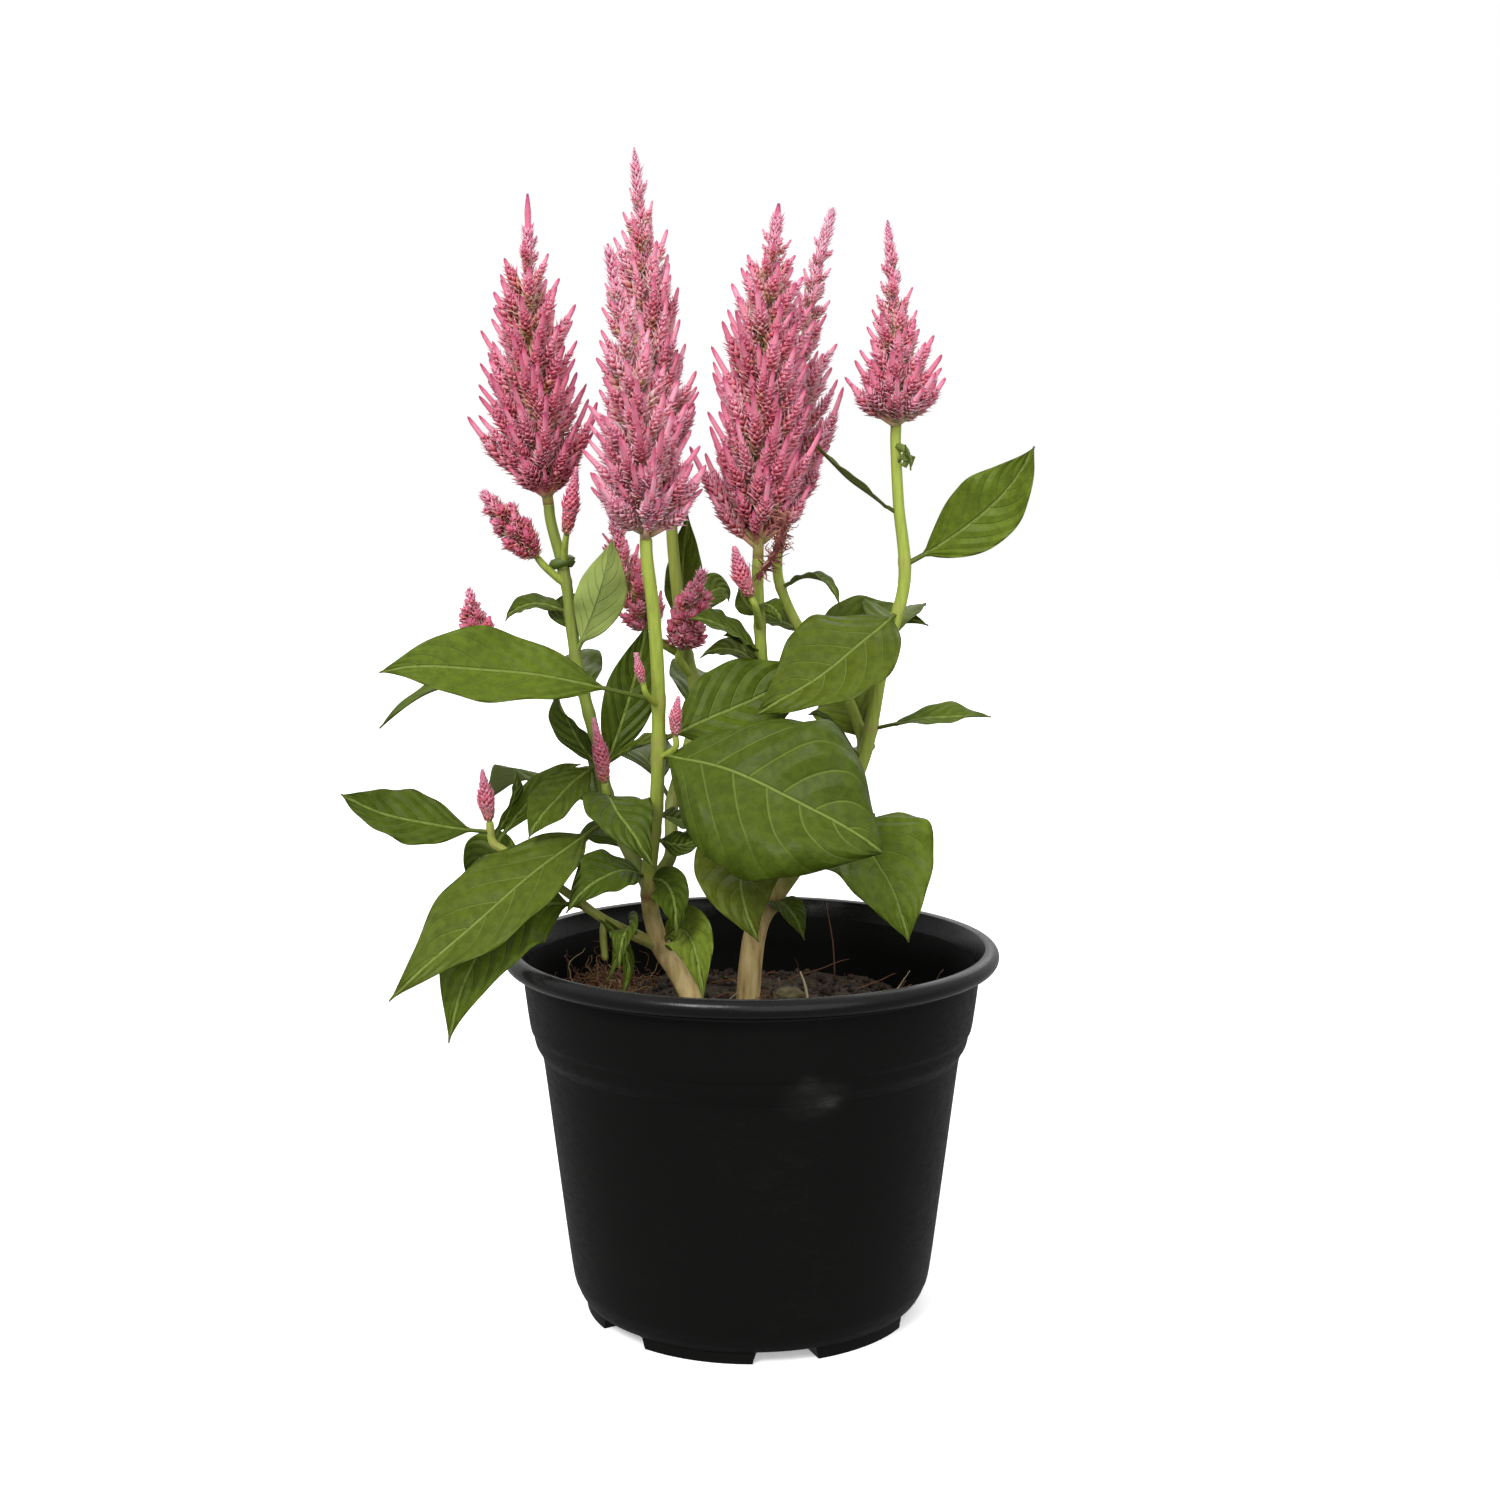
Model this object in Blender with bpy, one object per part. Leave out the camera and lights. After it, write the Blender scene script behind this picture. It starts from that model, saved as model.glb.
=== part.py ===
"""Plume celosia growing in a round nursery pot.

Metres, +Z up. The origin is under the middle of the pot, on the surface that it stands on.
The plant is seen from -Y, and +X is to the right.
"""

import math
import random

import bmesh
import bpy
from mathutils import Vector, noise

# Gap between pieces that touch
GAP = 0.0003
BLOOM_GAP = 0.0005

# Pot: a 150 mm nursery pot
RIM_RADIUS = 0.075
POT_HEIGHT = 0.112
WALL = 0.0012
FLOOR_THICKNESS = 0.0016
POT_SEGMENTS = 32
FOOT_GAPS = 6
FOOT_GAP_WIDTH = 0.020
FOOT_GAP_HEIGHT = 0.004
FOOT_GAP_START = math.radians(-78.5)
FOOT_GAP_INNER_RADIUS = 0.040
# Outer radii of the blocks that wall a foot gap, at the foot, at its bend and at the roof of the gap
FOOT_BLOCK_RADII = (0.0499, 0.0502, 0.0522)
FOOT_BEND_HEIGHT = 0.0032
FOOT_GAP_OUTER_RADIUS = 0.060
FOOT_GAP_TAPER = 0.86
DRAIN_HOLE_RADIUS = 0.003
DRAIN_HOLE_PLACE = 0.045
DRAIN_HOLE_SIDES = 10

# Outer face of the pot as (radius, height), from the foot to the underside of the rim
POT_OUTSIDE = [
    (0.0508, 0.0),
    (0.0510, FOOT_BEND_HEIGHT),
    (0.0523, 0.0046),
    (0.0538, 0.0075),
    (0.0553, 0.0135),
    (0.0589, 0.0420),
    (0.0630, 0.0755),
    (0.0640, 0.0800),
    (0.0656, 0.0830),
    (0.0664, 0.0868),
    (0.0672, 0.0884),
    (0.0688, 0.1005),
    (0.0692, 0.1062),
]
# The rolled rim, a part of a circle from under its outside to its inside
RIM_ROLL = 0.0028
RIM_ROLL_START = -80.0
RIM_ROLL_SPAN = 200.0
RIM_ROLL_STEPS = 5
# Inner face of the pot, from the floor to the rim
POT_INSIDE = [
    (0.0496, FLOOR_THICKNESS),
    (0.0498, FOOT_BEND_HEIGHT),
    (0.0525, 0.0080),
    (0.0541, 0.0140),
    (0.0628, 0.0800),
    (0.0652, 0.0868),
    (0.0660, 0.0884),
    (0.0680, 0.1062),
]

# Soil
SOIL_TOP = 0.0895
SOIL_LUMP = 0.0022
SOIL_LUMPS = 60.0
SOIL_CRUMBS = 150.0
SOIL_DOME = 0.45
SOIL_RINGS = 5
# How far under its top the soil stops following the wall, and how far it then presses against it
SOIL_EDGE_DEPTH = 0.008
SOIL_EDGE_SWELL = 0.0008
SOIL_BASE = FLOOR_THICKNESS + GAP
STEM_FOOT = 0.066
STEM_HOLE_PLAY = 0.0005
STEM_HOLE_TOP = 0.11
STEM_HOLE_SIDES = 10
BARK_CHIP = (0.0120, 0.0130)
BARK_CHIP_HALF_SIZES = (0.0055, 0.0042, 0.0026)
BARK_CHIP_LUMPS = 1.7
BARK_CHIP_LUMP = 0.18
BARK_CHIP_LIFT = 0.0004

# Stem routes from the soil upwards as (x, y, z, radius)
STEM_SIDES = 6
# How far a stem runs straight under the bloom that it carries, and how slim it is there
NECK = 0.006
NECK_TAPER = 0.95
SHOOT_SIDES = 5
SHOOT_FLARE = 1.2
SHOOT_BEND = 0.55
TRUNKS = ("front", "right")
STEM_ROUTES = {
    "left": [
        (-0.0305, -0.003, 0.127, 0.0020),
        (-0.034, -0.001, 0.135, 0.0020),
        (-0.039, 0.002, 0.143, 0.0020),
        (-0.0445, 0.006, 0.158, 0.0020),
        (-0.047, 0.007, 0.171, 0.0019),
        (-0.053, 0.008, 0.197, 0.0018),
        (-0.056, 0.008, 0.221, 0.0017),
    ],
    "front": [
        (-0.018, 0.005, 0.092, 0.0034),
        (-0.023, 0.004, 0.102, 0.0032),
        (-0.028, 0.002, 0.111, 0.0029),
        (-0.031, -0.004, 0.129, 0.0024),
        (-0.028, -0.012, 0.157, 0.0021),
        (-0.027, -0.018, 0.188, 0.0020),
        (-0.028, -0.022, 0.212, 0.0019),
    ],
    "front_arm": [
        (-0.028, 0.002, 0.110, 0.0020),
        (-0.044, -0.006, 0.120, 0.0014),
        (-0.057, -0.008, 0.130, 0.0013),
        (-0.073, -0.008, 0.141, 0.0012),
    ],
    "back": [
        (-0.0305, -0.003, 0.126, 0.0020),
        (-0.0275, 0.001, 0.133, 0.0020),
        (-0.0245, 0.006, 0.139, 0.0020),
        (-0.0245, 0.015, 0.153, 0.0020),
        (-0.019, 0.028, 0.171, 0.0020),
        (-0.0175, 0.034, 0.183, 0.0020),
        (-0.022, 0.036, 0.205, 0.0019),
        (-0.025, 0.036, 0.235, 0.0018),
    ],
    "centre": [
        (0.0055, 0.012, 0.121, 0.0021),
        (0.007, 0.014, 0.1285, 0.0021),
        (0.0065, 0.015, 0.138, 0.0020),
        (0.0065, 0.014, 0.147, 0.0020),
        (0.005, 0.006, 0.173, 0.0019),
        (0.003, 0.002, 0.199, 0.0018),
    ],
    "right": [
        (-0.001, 0.014, 0.092, 0.0037),
        (0.001, 0.013, 0.111, 0.0035),
        (0.006, 0.012, 0.122, 0.0031),
        (0.023, 0.009, 0.147, 0.0027),
        (0.034, 0.008, 0.167, 0.0022),
        (0.040, 0.007, 0.197, 0.0019),
        (0.046, 0.006, 0.221, 0.0019),
        (0.044, 0.005, 0.244, 0.0017),
    ],
    "right_inner": [
        (0.033, 0.008, 0.165, 0.0020),
        (0.034, 0.012, 0.173, 0.0018),
        (0.027, 0.018, 0.190, 0.0017),
        (0.015, 0.024, 0.206, 0.0016),
        (0.009, 0.026, 0.219, 0.0016),
    ],
}
# Routes that grow from each of the two trunks, the trunk first
LEAFY_STEMS = {
    "leafy_stems_left": ["front", "front_arm", "left", "back"],
    "leafy_stems_right": ["right", "right_inner", "centre"],
}

# Blooms: what carries each (a route's end, or a side shoot from a route at a height), the axis from its
# base to its tip, its radius at shares of that axis, and its count of spikelets
BLOOMS = {
    "plume_left": {
        "route": "left",
        "axis": [(-0.061, 0.009, 0.244), (-0.065, 0.009, 0.275), (-0.066, 0.009, 0.304), (-0.066, 0.008, 0.335)],
        "radii": [(0.0, 0.004), (0.09, 0.010), (0.18, 0.0155), (0.31, 0.018), (0.50, 0.0147), (0.65, 0.0125),
                  (0.75, 0.009), (0.84, 0.0055), (0.90, 0.0022), (1.0, 0.0010)],
        "spikelets": 64,
    },
    "plume_front": {
        "route": "front",
        "axis": [(-0.030, -0.025, 0.234), (-0.031, -0.026, 0.256), (-0.034, -0.027, 0.281), (-0.040, -0.028, 0.316)],
        "radii": [(0.0, 0.004), (0.08, 0.009), (0.18, 0.0155), (0.32, 0.0168), (0.50, 0.0165), (0.62, 0.0115),
                  (0.75, 0.0080), (0.86, 0.0055), (0.94, 0.0030), (1.0, 0.0010)],
        "spikelets": 62,
    },
    "plume_back": {
        "route": "back",
        "axis": [(-0.026, 0.035, 0.259), (-0.030, 0.035, 0.278), (-0.033, 0.035, 0.318), (-0.036, 0.035, 0.353)],
        "radii": [(0.0, 0.005), (0.12, 0.012), (0.30, 0.0145), (0.47, 0.0115), (0.62, 0.0110), (0.74, 0.0085),
                  (0.82, 0.0055), (0.90, 0.0032), (0.96, 0.0014), (1.0, 0.0006)],
        "spikelets": 57,
    },
    "plume_centre": {
        "route": "centre",
        "axis": [(0.002, 0.000, 0.228), (0.003, 0.000, 0.269), (0.005, 0.000, 0.303), (0.008, 0.000, 0.331)],
        "radii": [(0.0, 0.004), (0.09, 0.009), (0.18, 0.015), (0.30, 0.017), (0.50, 0.0145), (0.66, 0.0138),
                  (0.78, 0.0095), (0.86, 0.0052), (0.94, 0.0028), (1.0, 0.0014)],
        "spikelets": 64,
    },
    "plume_inner": {
        "route": "right_inner",
        "axis": [(0.009, 0.026, 0.233), (0.013, 0.027, 0.261), (0.016, 0.028, 0.291), (0.020, 0.028, 0.315),
                 (0.025, 0.028, 0.334)],
        "radii": [(0.0, 0.005), (0.15, 0.009), (0.30, 0.0115), (0.48, 0.0108), (0.60, 0.0075), (0.75, 0.0052),
                  (0.88, 0.0032), (1.0, 0.0009)],
        "spikelets": 39,
    },
    "plume_right": {
        "route": "right",
        "axis": [(0.043, 0.005, 0.267), (0.043, 0.005, 0.284), (0.042, 0.005, 0.304), (0.040, 0.005, 0.327)],
        "radii": [(0.0, 0.005), (0.14, 0.0120), (0.26, 0.0145), (0.40, 0.0130), (0.52, 0.0100), (0.64, 0.0072),
                  (0.76, 0.0045), (0.86, 0.0026), (1.0, 0.0007)],
        "spikelets": 40,
    },
    "cluster_low_left": {
        "shoot": ("back", 0.196, 0.0012),
        "axis": [(-0.030, 0.030, 0.204), (-0.038, 0.025, 0.220), (-0.043, 0.022, 0.243)],
        "radii": [(0.0, 0.0035), (0.25, 0.0085), (0.6, 0.0085), (0.85, 0.0045), (1.0, 0.0008)],
        "spikelets": 26,
    },
    "cluster_low_right": {
        "shoot": ("back", 0.190, 0.0012),
        "axis": [(-0.022, 0.030, 0.199), (-0.019, 0.027, 0.211), (-0.015, 0.024, 0.224)],
        "radii": [(0.0, 0.0035), (0.25, 0.0065), (0.6, 0.006), (0.85, 0.0035), (1.0, 0.0008)],
        "spikelets": 18,
    },
    "side_plume_outer": {
        "shoot": ("left", 0.220, 0.0010),
        "axis": [(-0.064, 0.005, 0.228), (-0.073, 0.003, 0.239), (-0.080, 0.002, 0.248)],
        "radii": [(0.0, 0.003), (0.3, 0.0055), (0.7, 0.004), (1.0, 0.0008)],
        "spikelets": 15,
    },
    "side_plume_near": {
        "shoot": ("left", 0.224, 0.0009),
        "axis": [(-0.055, 0.001, 0.235), (-0.053, -0.004, 0.245), (-0.051, -0.007, 0.255)],
        "radii": [(0.0, 0.002), (0.4, 0.0032), (1.0, 0.0006)],
        "spikelets": 9,
    },
    "head_left": {
        "shoot": ("left", 0.188, 0.0010),
        "axis": [(-0.081, 0.002, 0.204), (-0.083, 0.001, 0.211), (-0.084, 0.000, 0.219)],
        "radii": [(0.0, 0.0035), (0.4, 0.0052), (1.0, 0.001)],
        "spikelets": 13,
    },
    "bud_arm": {
        "route": "front_arm",
        "axis": [(-0.078, -0.008, 0.150), (-0.079, -0.008, 0.157), (-0.080, -0.008, 0.166)],
        "radii": [(0.0, 0.0018), (0.4, 0.0034), (1.0, 0.0006)],
        "spikelets": 10,
    },
    "bud_left": {
        "shoot": ("left", 0.152, 0.0010),
        "axis": [(-0.044, -0.003, 0.161), (-0.045, -0.004, 0.170), (-0.047, -0.005, 0.181)],
        "radii": [(0.0, 0.002), (0.4, 0.0031), (1.0, 0.0006)],
        "spikelets": 10,
    },
    "bud_front_high": {
        "shoot": ("front", 0.170, 0.0009),
        "axis": [(-0.022, -0.020, 0.177), (-0.022, -0.021, 0.183), (-0.021, -0.022, 0.189)],
        "radii": [(0.0, 0.0016), (0.4, 0.0024), (1.0, 0.0006)],
        "spikelets": 8,
    },
    "bud_front": {
        "shoot": ("front", 0.186, 0.0008),
        "axis": [(-0.031, -0.026, 0.193), (-0.032, -0.027, 0.197), (-0.033, -0.027, 0.202)],
        "radii": [(0.0, 0.0012), (0.4, 0.0018), (1.0, 0.0006)],
        "spikelets": 6,
    },
    "head_centre": {
        "shoot": ("centre", 0.207, 0.0009),
        "axis": [(0.000, -0.010, 0.217), (-0.003, -0.012, 0.224), (-0.005, -0.013, 0.232)],
        "radii": [(0.0, 0.002), (0.4, 0.0036), (1.0, 0.0007)],
        "spikelets": 10,
    },
}
GOLDEN_ANGLE = math.radians(137.5)
# A bloom with more spikelets than this is a plume
SMALL_BLOOM = 20
# Shares of the axis between which the spikelets' tips stand, and how close the slim parts keep them
FIRST_TIP = 0.02
LAST_TIP = 0.92
TIP_STEPS = 200
SLIM_CROWDING = 0.0025
# A spikelet's reach against its bloom's radius, its fall and its least rise against that reach
SPIKELET_REACH = (0.86, 1.12)
SPIKELET_SLOPE = 1.3
SPIKELET_LEAST_RISE = 0.55
LOWEST_ROOT = 0.05
SMALL_LOWEST_ROOT = 0.12
SPIKELET_ROOT = 0.3
SPIKELET_RADIUS = 0.0025
SPIKELET_STOUTNESS = 0.2
SPIKELET_LEAST_RADIUS = 0.0004
SPIKELET_VARIETY = (0.9, 1.1)
TURN_VARIETY = 0.25
# Share of the axis on each side of a spikelet's tip from which the axis takes its slope there
SLOPE_SPAN = 0.03
CORE_SHARE = 0.62
CORE_SIDES = 5
CORE_RINGS = 8
SMALL_CORE_RINGS = 4
CORE_FOOT_RADIUS = 0.0019
CORE_LEAST_RADIUS = 0.0005

# Leaves: the route and the height that each grows from, the middle of its midrib, its tip, its width,
# the way its upper face looks, and the share of its length that is bare stalk
LEAVES = [
    # Left stem
    ("left", 0.188, (-0.084, 0.000, 0.192), (-0.111, -0.005, 0.178), 0.020, (0.0, -0.1, 1.0), 0.12),
    ("left", 0.150, (-0.071, -0.023, 0.131), (-0.103, -0.042, 0.104), 0.030, (-0.4, -0.8, 0.45), 0.14),
    ("left", 0.166, (-0.058, -0.006, 0.157), (-0.066, -0.013, 0.146), 0.015, (-0.2, -0.8, 0.5), 0.10),
    ("left", 0.156, (-0.039, -0.020, 0.155), (-0.028, -0.029, 0.140), 0.020, (0.2, -0.6, 0.7), 0.12),
    ("left", 0.164, (-0.055, 0.004, 0.178), (-0.058, -0.004, 0.189), 0.013, (-0.6, -0.6, 0.3), 0.08),
    ("left", 0.162, (-0.037, 0.013, 0.187), (-0.032, 0.013, 0.208), 0.016, (0.2, -0.9, 0.2), 0.08),
    ("left", 0.165, (-0.035, 0.006, 0.171), (-0.024, 0.005, 0.175), 0.011, (0.0, -0.2, 1.0), 0.08),
    ("left", 0.199, (-0.045, 0.000, 0.217), (-0.041, -0.004, 0.234), 0.015, (0.1, 0.9, 0.2), 0.10),
    ("left", 0.206, (-0.057, 0.015, 0.212), (-0.050, 0.019, 0.217), 0.010, (0.0, -0.6, 0.7), 0.08),
    ("left", 0.211, (-0.067, 0.012, 0.214), (-0.075, 0.012, 0.209), 0.009, (0.0, -0.5, 0.8), 0.08),
    ("left", 0.138, (-0.048, 0.022, 0.142), (-0.055, 0.030, 0.133), 0.014, (0.0, -0.6, 0.8), 0.10),
    ("left", 0.146, (-0.066, 0.034, 0.158), (-0.088, 0.054, 0.146), 0.026, (-0.2, 0.3, 0.9), 0.12),
    ("left", 0.180, (-0.058, 0.032, 0.196), (-0.062, 0.056, 0.190), 0.022, (0.0, 0.4, 0.9), 0.12),
    # Front stem and its low arm
    ("front", 0.187, (-0.072, -0.033, 0.1975), (-0.104, -0.040, 0.1975), 0.024, (0.0, -0.8, 0.6), 0.16),
    ("front", 0.171, (0.005, -0.038, 0.163), (0.036, -0.044, 0.146), 0.046, (0.1, -0.85, 0.5), 0.05),
    ("front", 0.175, (-0.010, 0.002, 0.186), (0.010, 0.015, 0.196), 0.018, (0.0, -0.9, 0.3), 0.12),
    ("front", 0.132, (-0.042, -0.017, 0.136), (-0.054, -0.025, 0.126), 0.017, (-0.1, -0.7, 0.7), 0.10),
    ("front", 0.132, (-0.024, -0.015, 0.131), (-0.022, -0.021, 0.118), 0.012, (-0.1, -0.95, 0.2), 0.10),
    ("front", 0.110, (-0.019, -0.012, 0.117), (-0.014, -0.026, 0.100), 0.015, (0.0, -0.95, 0.3), 0.10),
    ("front", 0.153, (-0.021, -0.005, 0.150), (-0.015, 0.000, 0.148), 0.009, (0.0, -0.6, 0.8), 0.10),
    ("front", 0.146, (-0.021, -0.007, 0.143), (-0.014, -0.005, 0.147), 0.009, (0.0, -0.7, 0.7), 0.10),
    ("front_arm", 0.124, (-0.074, -0.022, 0.121), (-0.0875, -0.034, 0.0895), 0.028, (-0.2, -0.9, 0.4), 0.10),
    ("front_arm", 0.147, (-0.103, -0.014, 0.152), (-0.120, -0.018, 0.160), 0.019, (0.0, -0.7, 0.7), 0.10),
    ("front_arm", 0.136, (-0.079, -0.001, 0.139), (-0.087, 0.004, 0.131), 0.015, (0.0, -0.9, 0.3), 0.10),
    ("front_arm", 0.145, (-0.072, -0.001, 0.1555), (-0.071, 0.000, 0.165), 0.008, (1.0, -0.3, 0.0), 0.08),
    ("front_arm", 0.143, (-0.064, 0.004, 0.158), (-0.052, 0.005, 0.166), 0.010, (0.0, -0.6, 0.7), 0.08),
    ("front_arm", 0.114, (-0.037, -0.014, 0.119), (-0.039, -0.021, 0.108), 0.010, (-0.5, -0.8, 0.3), 0.10),
    # Back stem
    ("back", 0.202, (-0.022, 0.044, 0.221), (-0.020, 0.037, 0.242), 0.013, (0.3, -0.8, 0.3), 0.10),
    ("back", 0.204, (-0.012, 0.044, 0.217), (-0.007, 0.048, 0.213), 0.012, (0.2, -0.6, 0.7), 0.10),
    ("back", 0.152, (-0.040, 0.046, 0.166), (-0.054, 0.068, 0.152), 0.026, (-0.1, 0.4, 0.9), 0.12),
    ("back", 0.172, (-0.014, 0.064, 0.188), (-0.012, 0.092, 0.178), 0.026, (0.1, 0.4, 0.9), 0.12),
    ("back", 0.142, (-0.006, 0.044, 0.142), (0.002, 0.072, 0.128), 0.024, (0.2, 0.5, 0.8), 0.12),
    # Centre stem
    ("centre", 0.195, (-0.006, -0.007, 0.207), (-0.018, -0.013, 0.211), 0.014, (0.2, -0.5, 0.8), 0.12),
    ("centre", 0.194, (-0.006, 0.016, 0.200), (-0.016, 0.022, 0.197), 0.010, (0.0, -0.6, 0.8), 0.10),
    ("centre", 0.200, (-0.003, -0.004, 0.204), (-0.008, -0.008, 0.206), 0.008, (0.0, -0.6, 0.8), 0.10),
    ("centre", 0.211, (-0.001, 0.005, 0.214), (-0.004, 0.009, 0.219), 0.008, (0.0, -0.8, 0.4), 0.10),
    ("centre", 0.214, (0.006, -0.004, 0.214), (0.009, -0.006, 0.209), 0.007, (0.3, -0.7, 0.5), 0.10),
    ("centre", 0.147, (-0.003, -0.016, 0.138), (0.002, -0.032, 0.119), 0.028, (-0.1, -0.9, 0.45), 0.10),
    ("centre", 0.135, (0.026, 0.046, 0.144), (0.040, 0.066, 0.132), 0.026, (0.3, 0.3, 0.9), 0.12),
    # Right trunk and its two stems
    ("right", 0.212, (0.024, -0.011, 0.197), (0.001, -0.017, 0.183), 0.032, (-0.1, -0.75, 0.65), 0.06),
    ("right", 0.226, (0.070, 0.000, 0.2425), (0.083, -0.004, 0.261), 0.021, (-0.3, -0.9, 0.1), 0.10),
    ("right", 0.176, (0.055, 0.004, 0.180), (0.072, 0.000, 0.181), 0.013, (0.0, -0.35, 0.95), 0.18),
    ("right", 0.241, (0.029, 0.003, 0.252), (0.017, 0.004, 0.264), 0.008, (0.6, 0.0, 0.75), 0.10),
    ("right", 0.256, (0.046, -0.001, 0.259), (0.047, -0.004, 0.254), 0.005, (0.7, -0.6, 0.2), 0.10),
    ("right", 0.150, (0.037, -0.014, 0.140), (0.046, -0.024, 0.117), 0.036, (0.3, -0.85, 0.4), 0.08),
    ("right", 0.121, (0.011, -0.002, 0.123), (0.016, -0.007, 0.114), 0.010, (0.3, -0.8, 0.5), 0.10),
    ("right", 0.166, (0.024, 0.000, 0.179), (0.017, -0.004, 0.182), 0.006, (0.0, -0.4, 0.9), 0.10),
    ("right", 0.158, (0.026, 0.036, 0.166), (0.020, 0.064, 0.154), 0.026, (0.0, 0.4, 0.9), 0.12),
    ("right", 0.198, (0.045, 0.032, 0.211), (0.042, 0.060, 0.203), 0.020, (0.0, 0.4, 0.9), 0.12),
    ("right_inner", 0.170, (0.029, 0.024, 0.183), (0.022, 0.031, 0.187), 0.014, (-0.2, -0.9, 0.3), 0.10),
    ("right_inner", 0.202, (0.036, 0.030, 0.209), (0.055, 0.024, 0.207), 0.016, (0.0, -0.6, 0.8), 0.08),
    ("right_inner", 0.204, (0.009, 0.034, 0.208), (0.002, 0.038, 0.210), 0.010, (0.0, -0.6, 0.8), 0.08),
    ("right_inner", 0.218, (0.020, 0.017, 0.222), (0.027, 0.011, 0.214), 0.009, (0.3, -0.2, 0.9), 0.10),
    ("right_inner", 0.186, (0.024, 0.048, 0.194), (0.022, 0.070, 0.184), 0.022, (0.0, 0.4, 0.9), 0.12),
]
LEAF_THICKNESS = 0.0007
STALK_THICKNESS = 0.0014
STALK_HALF_WIDTH = 0.0008
LEAF_STATIONS = [0.0, 0.11, 0.30, 0.52, 0.76, 1.0]
SMALL_LEAF_STATIONS = [0.0, 0.18, 0.56, 1.0]
SMALL_LEAF_WIDTH = 0.0125
LEAF_FOLD = 0.22
LEAF_WAVE = 0.10
LEAF_WAVES = 1.6
LEAF_WAVE_SHIFT = 900.0
# Powers of the outline near the stalk and near the tip
LEAF_BASE_POWER = 0.75
LEAF_TIP_POWER = 1.15


def clear_scene():
    for old in list(bpy.data.objects):
        bpy.data.objects.remove(old, do_unlink=True)


def material(name, colour, roughness):
    made = bpy.data.materials.new(name)
    made.use_nodes = True
    shader = made.node_tree.nodes["Principled BSDF"]
    shader.inputs["Base Color"].default_value = (*colour, 1.0)
    shader.inputs["Roughness"].default_value = roughness
    shader.inputs["Metallic"].default_value = 0.0
    return made


def piece(name, points, faces):
    """A mesh object from points and faces, with its faces turned outwards."""
    mesh = bpy.data.meshes.new(name)
    mesh.from_pydata([tuple(point) for point in points], [], faces)
    shell = bmesh.new()
    shell.from_mesh(mesh)
    bmesh.ops.recalc_face_normals(shell, faces=shell.faces)
    shell.to_mesh(mesh)
    shell.free()
    made = bpy.data.objects.new(name, mesh)
    bpy.context.scene.collection.objects.link(made)
    return made


def baked(target):
    """Applies the modifiers of an object."""
    bpy.context.view_layer.update()
    graph = bpy.context.evaluated_depsgraph_get()
    mesh = bpy.data.meshes.new_from_object(target.evaluated_get(graph))
    target.modifiers.clear()
    target.data = mesh


def combine(target, others, operation, solver):
    """One Boolean of the target with a collection of others, which are then removed."""
    group = bpy.data.collections.new("others of " + target.name)
    for other in others:
        group.objects.link(other)
    boolean = target.modifiers.new(operation.lower(), "BOOLEAN")
    boolean.operation = operation
    boolean.operand_type = "COLLECTION"
    boolean.collection = group
    boolean.solver = solver
    baked(target)
    for other in others:
        bpy.data.objects.remove(other, do_unlink=True)
    bpy.data.collections.remove(group)


def finish(target, surface, smooth_angle=None):
    target.data.materials.clear()
    target.data.materials.append(surface)
    if smooth_angle is not None:
        target.data.shade_smooth()
        target.data.set_sharp_from_angle(angle=math.radians(smooth_angle))


def turned(profile, segments, lift=None):
    """Points and faces of a profile turned about Z. A profile point on the axis is one point."""
    points = []
    rings = []
    for radius, height in profile:
        if radius == 0.0:
            rings.append([len(points)] * segments)
            points.append(Vector((0.0, 0.0, height)))
            continue
        rings.append(list(range(len(points), len(points) + segments)))
        for step in range(segments):
            angle = math.tau * step / segments
            points.append(Vector((radius * math.cos(angle), radius * math.sin(angle), height)))
    if lift:
        points = [lift(point) for point in points]
    faces = []
    for lower, upper in zip(rings, rings[1:]):
        for step in range(segments):
            after = (step + 1) % segments
            corners = [lower[step], lower[after], upper[after], upper[step]]
            face = [corner for place, corner in enumerate(corners) if corner not in corners[:place]]
            if len(face) > 2:
                faces.append(face)
    return points, faces


def sector(inner, levels, middle, steps=4):
    """A block that spans an angle about Z. Each level is (height, outer radius, half angle)."""
    points = []
    for height, outer, half in levels:
        for radius, count in ((inner, 1), (outer, steps)):
            turns = [middle + half * (2.0 * step / count - 1.0) for step in range(count + 1)]
            turns = turns if radius == inner else turns[::-1]
            points += [Vector((radius * math.cos(a), radius * math.sin(a), height)) for a in turns]
    ring = steps + 3
    faces = [list(range(ring))[::-1], list(range(ring * (len(levels) - 1), ring * len(levels)))]
    for level in range(len(levels) - 1):
        for step in range(ring):
            low = level * ring + step
            after = level * ring + (step + 1) % ring
            faces.append([low, after, after + ring, low + ring])
    return points, faces


def cylinder(x, y, bottom, top, radius, sides):
    points, faces = turned([(0.0, bottom), (radius, bottom), (radius, top), (0.0, top)], sides)
    return [point + Vector((x, y, 0.0)) for point in points], faces


def foot_gap_angles():
    return [FOOT_GAP_START + math.tau * step / FOOT_GAPS for step in range(FOOT_GAPS)]


def foot_blocks():
    """Walls and roofs of the foot gaps, inside the pot."""
    half = math.asin(FOOT_GAP_WIDTH / 2 / POT_OUTSIDE[0][0]) + WALL / POT_OUTSIDE[0][0]
    heights = (0.0, FOOT_BEND_HEIGHT, FOOT_GAP_HEIGHT + WALL)
    levels = [(height, radius, half) for height, radius in zip(heights, FOOT_BLOCK_RADII)]
    inner = FOOT_GAP_INNER_RADIUS - WALL
    return [piece("foot block", *sector(inner, levels, middle)) for middle in foot_gap_angles()]


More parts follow.
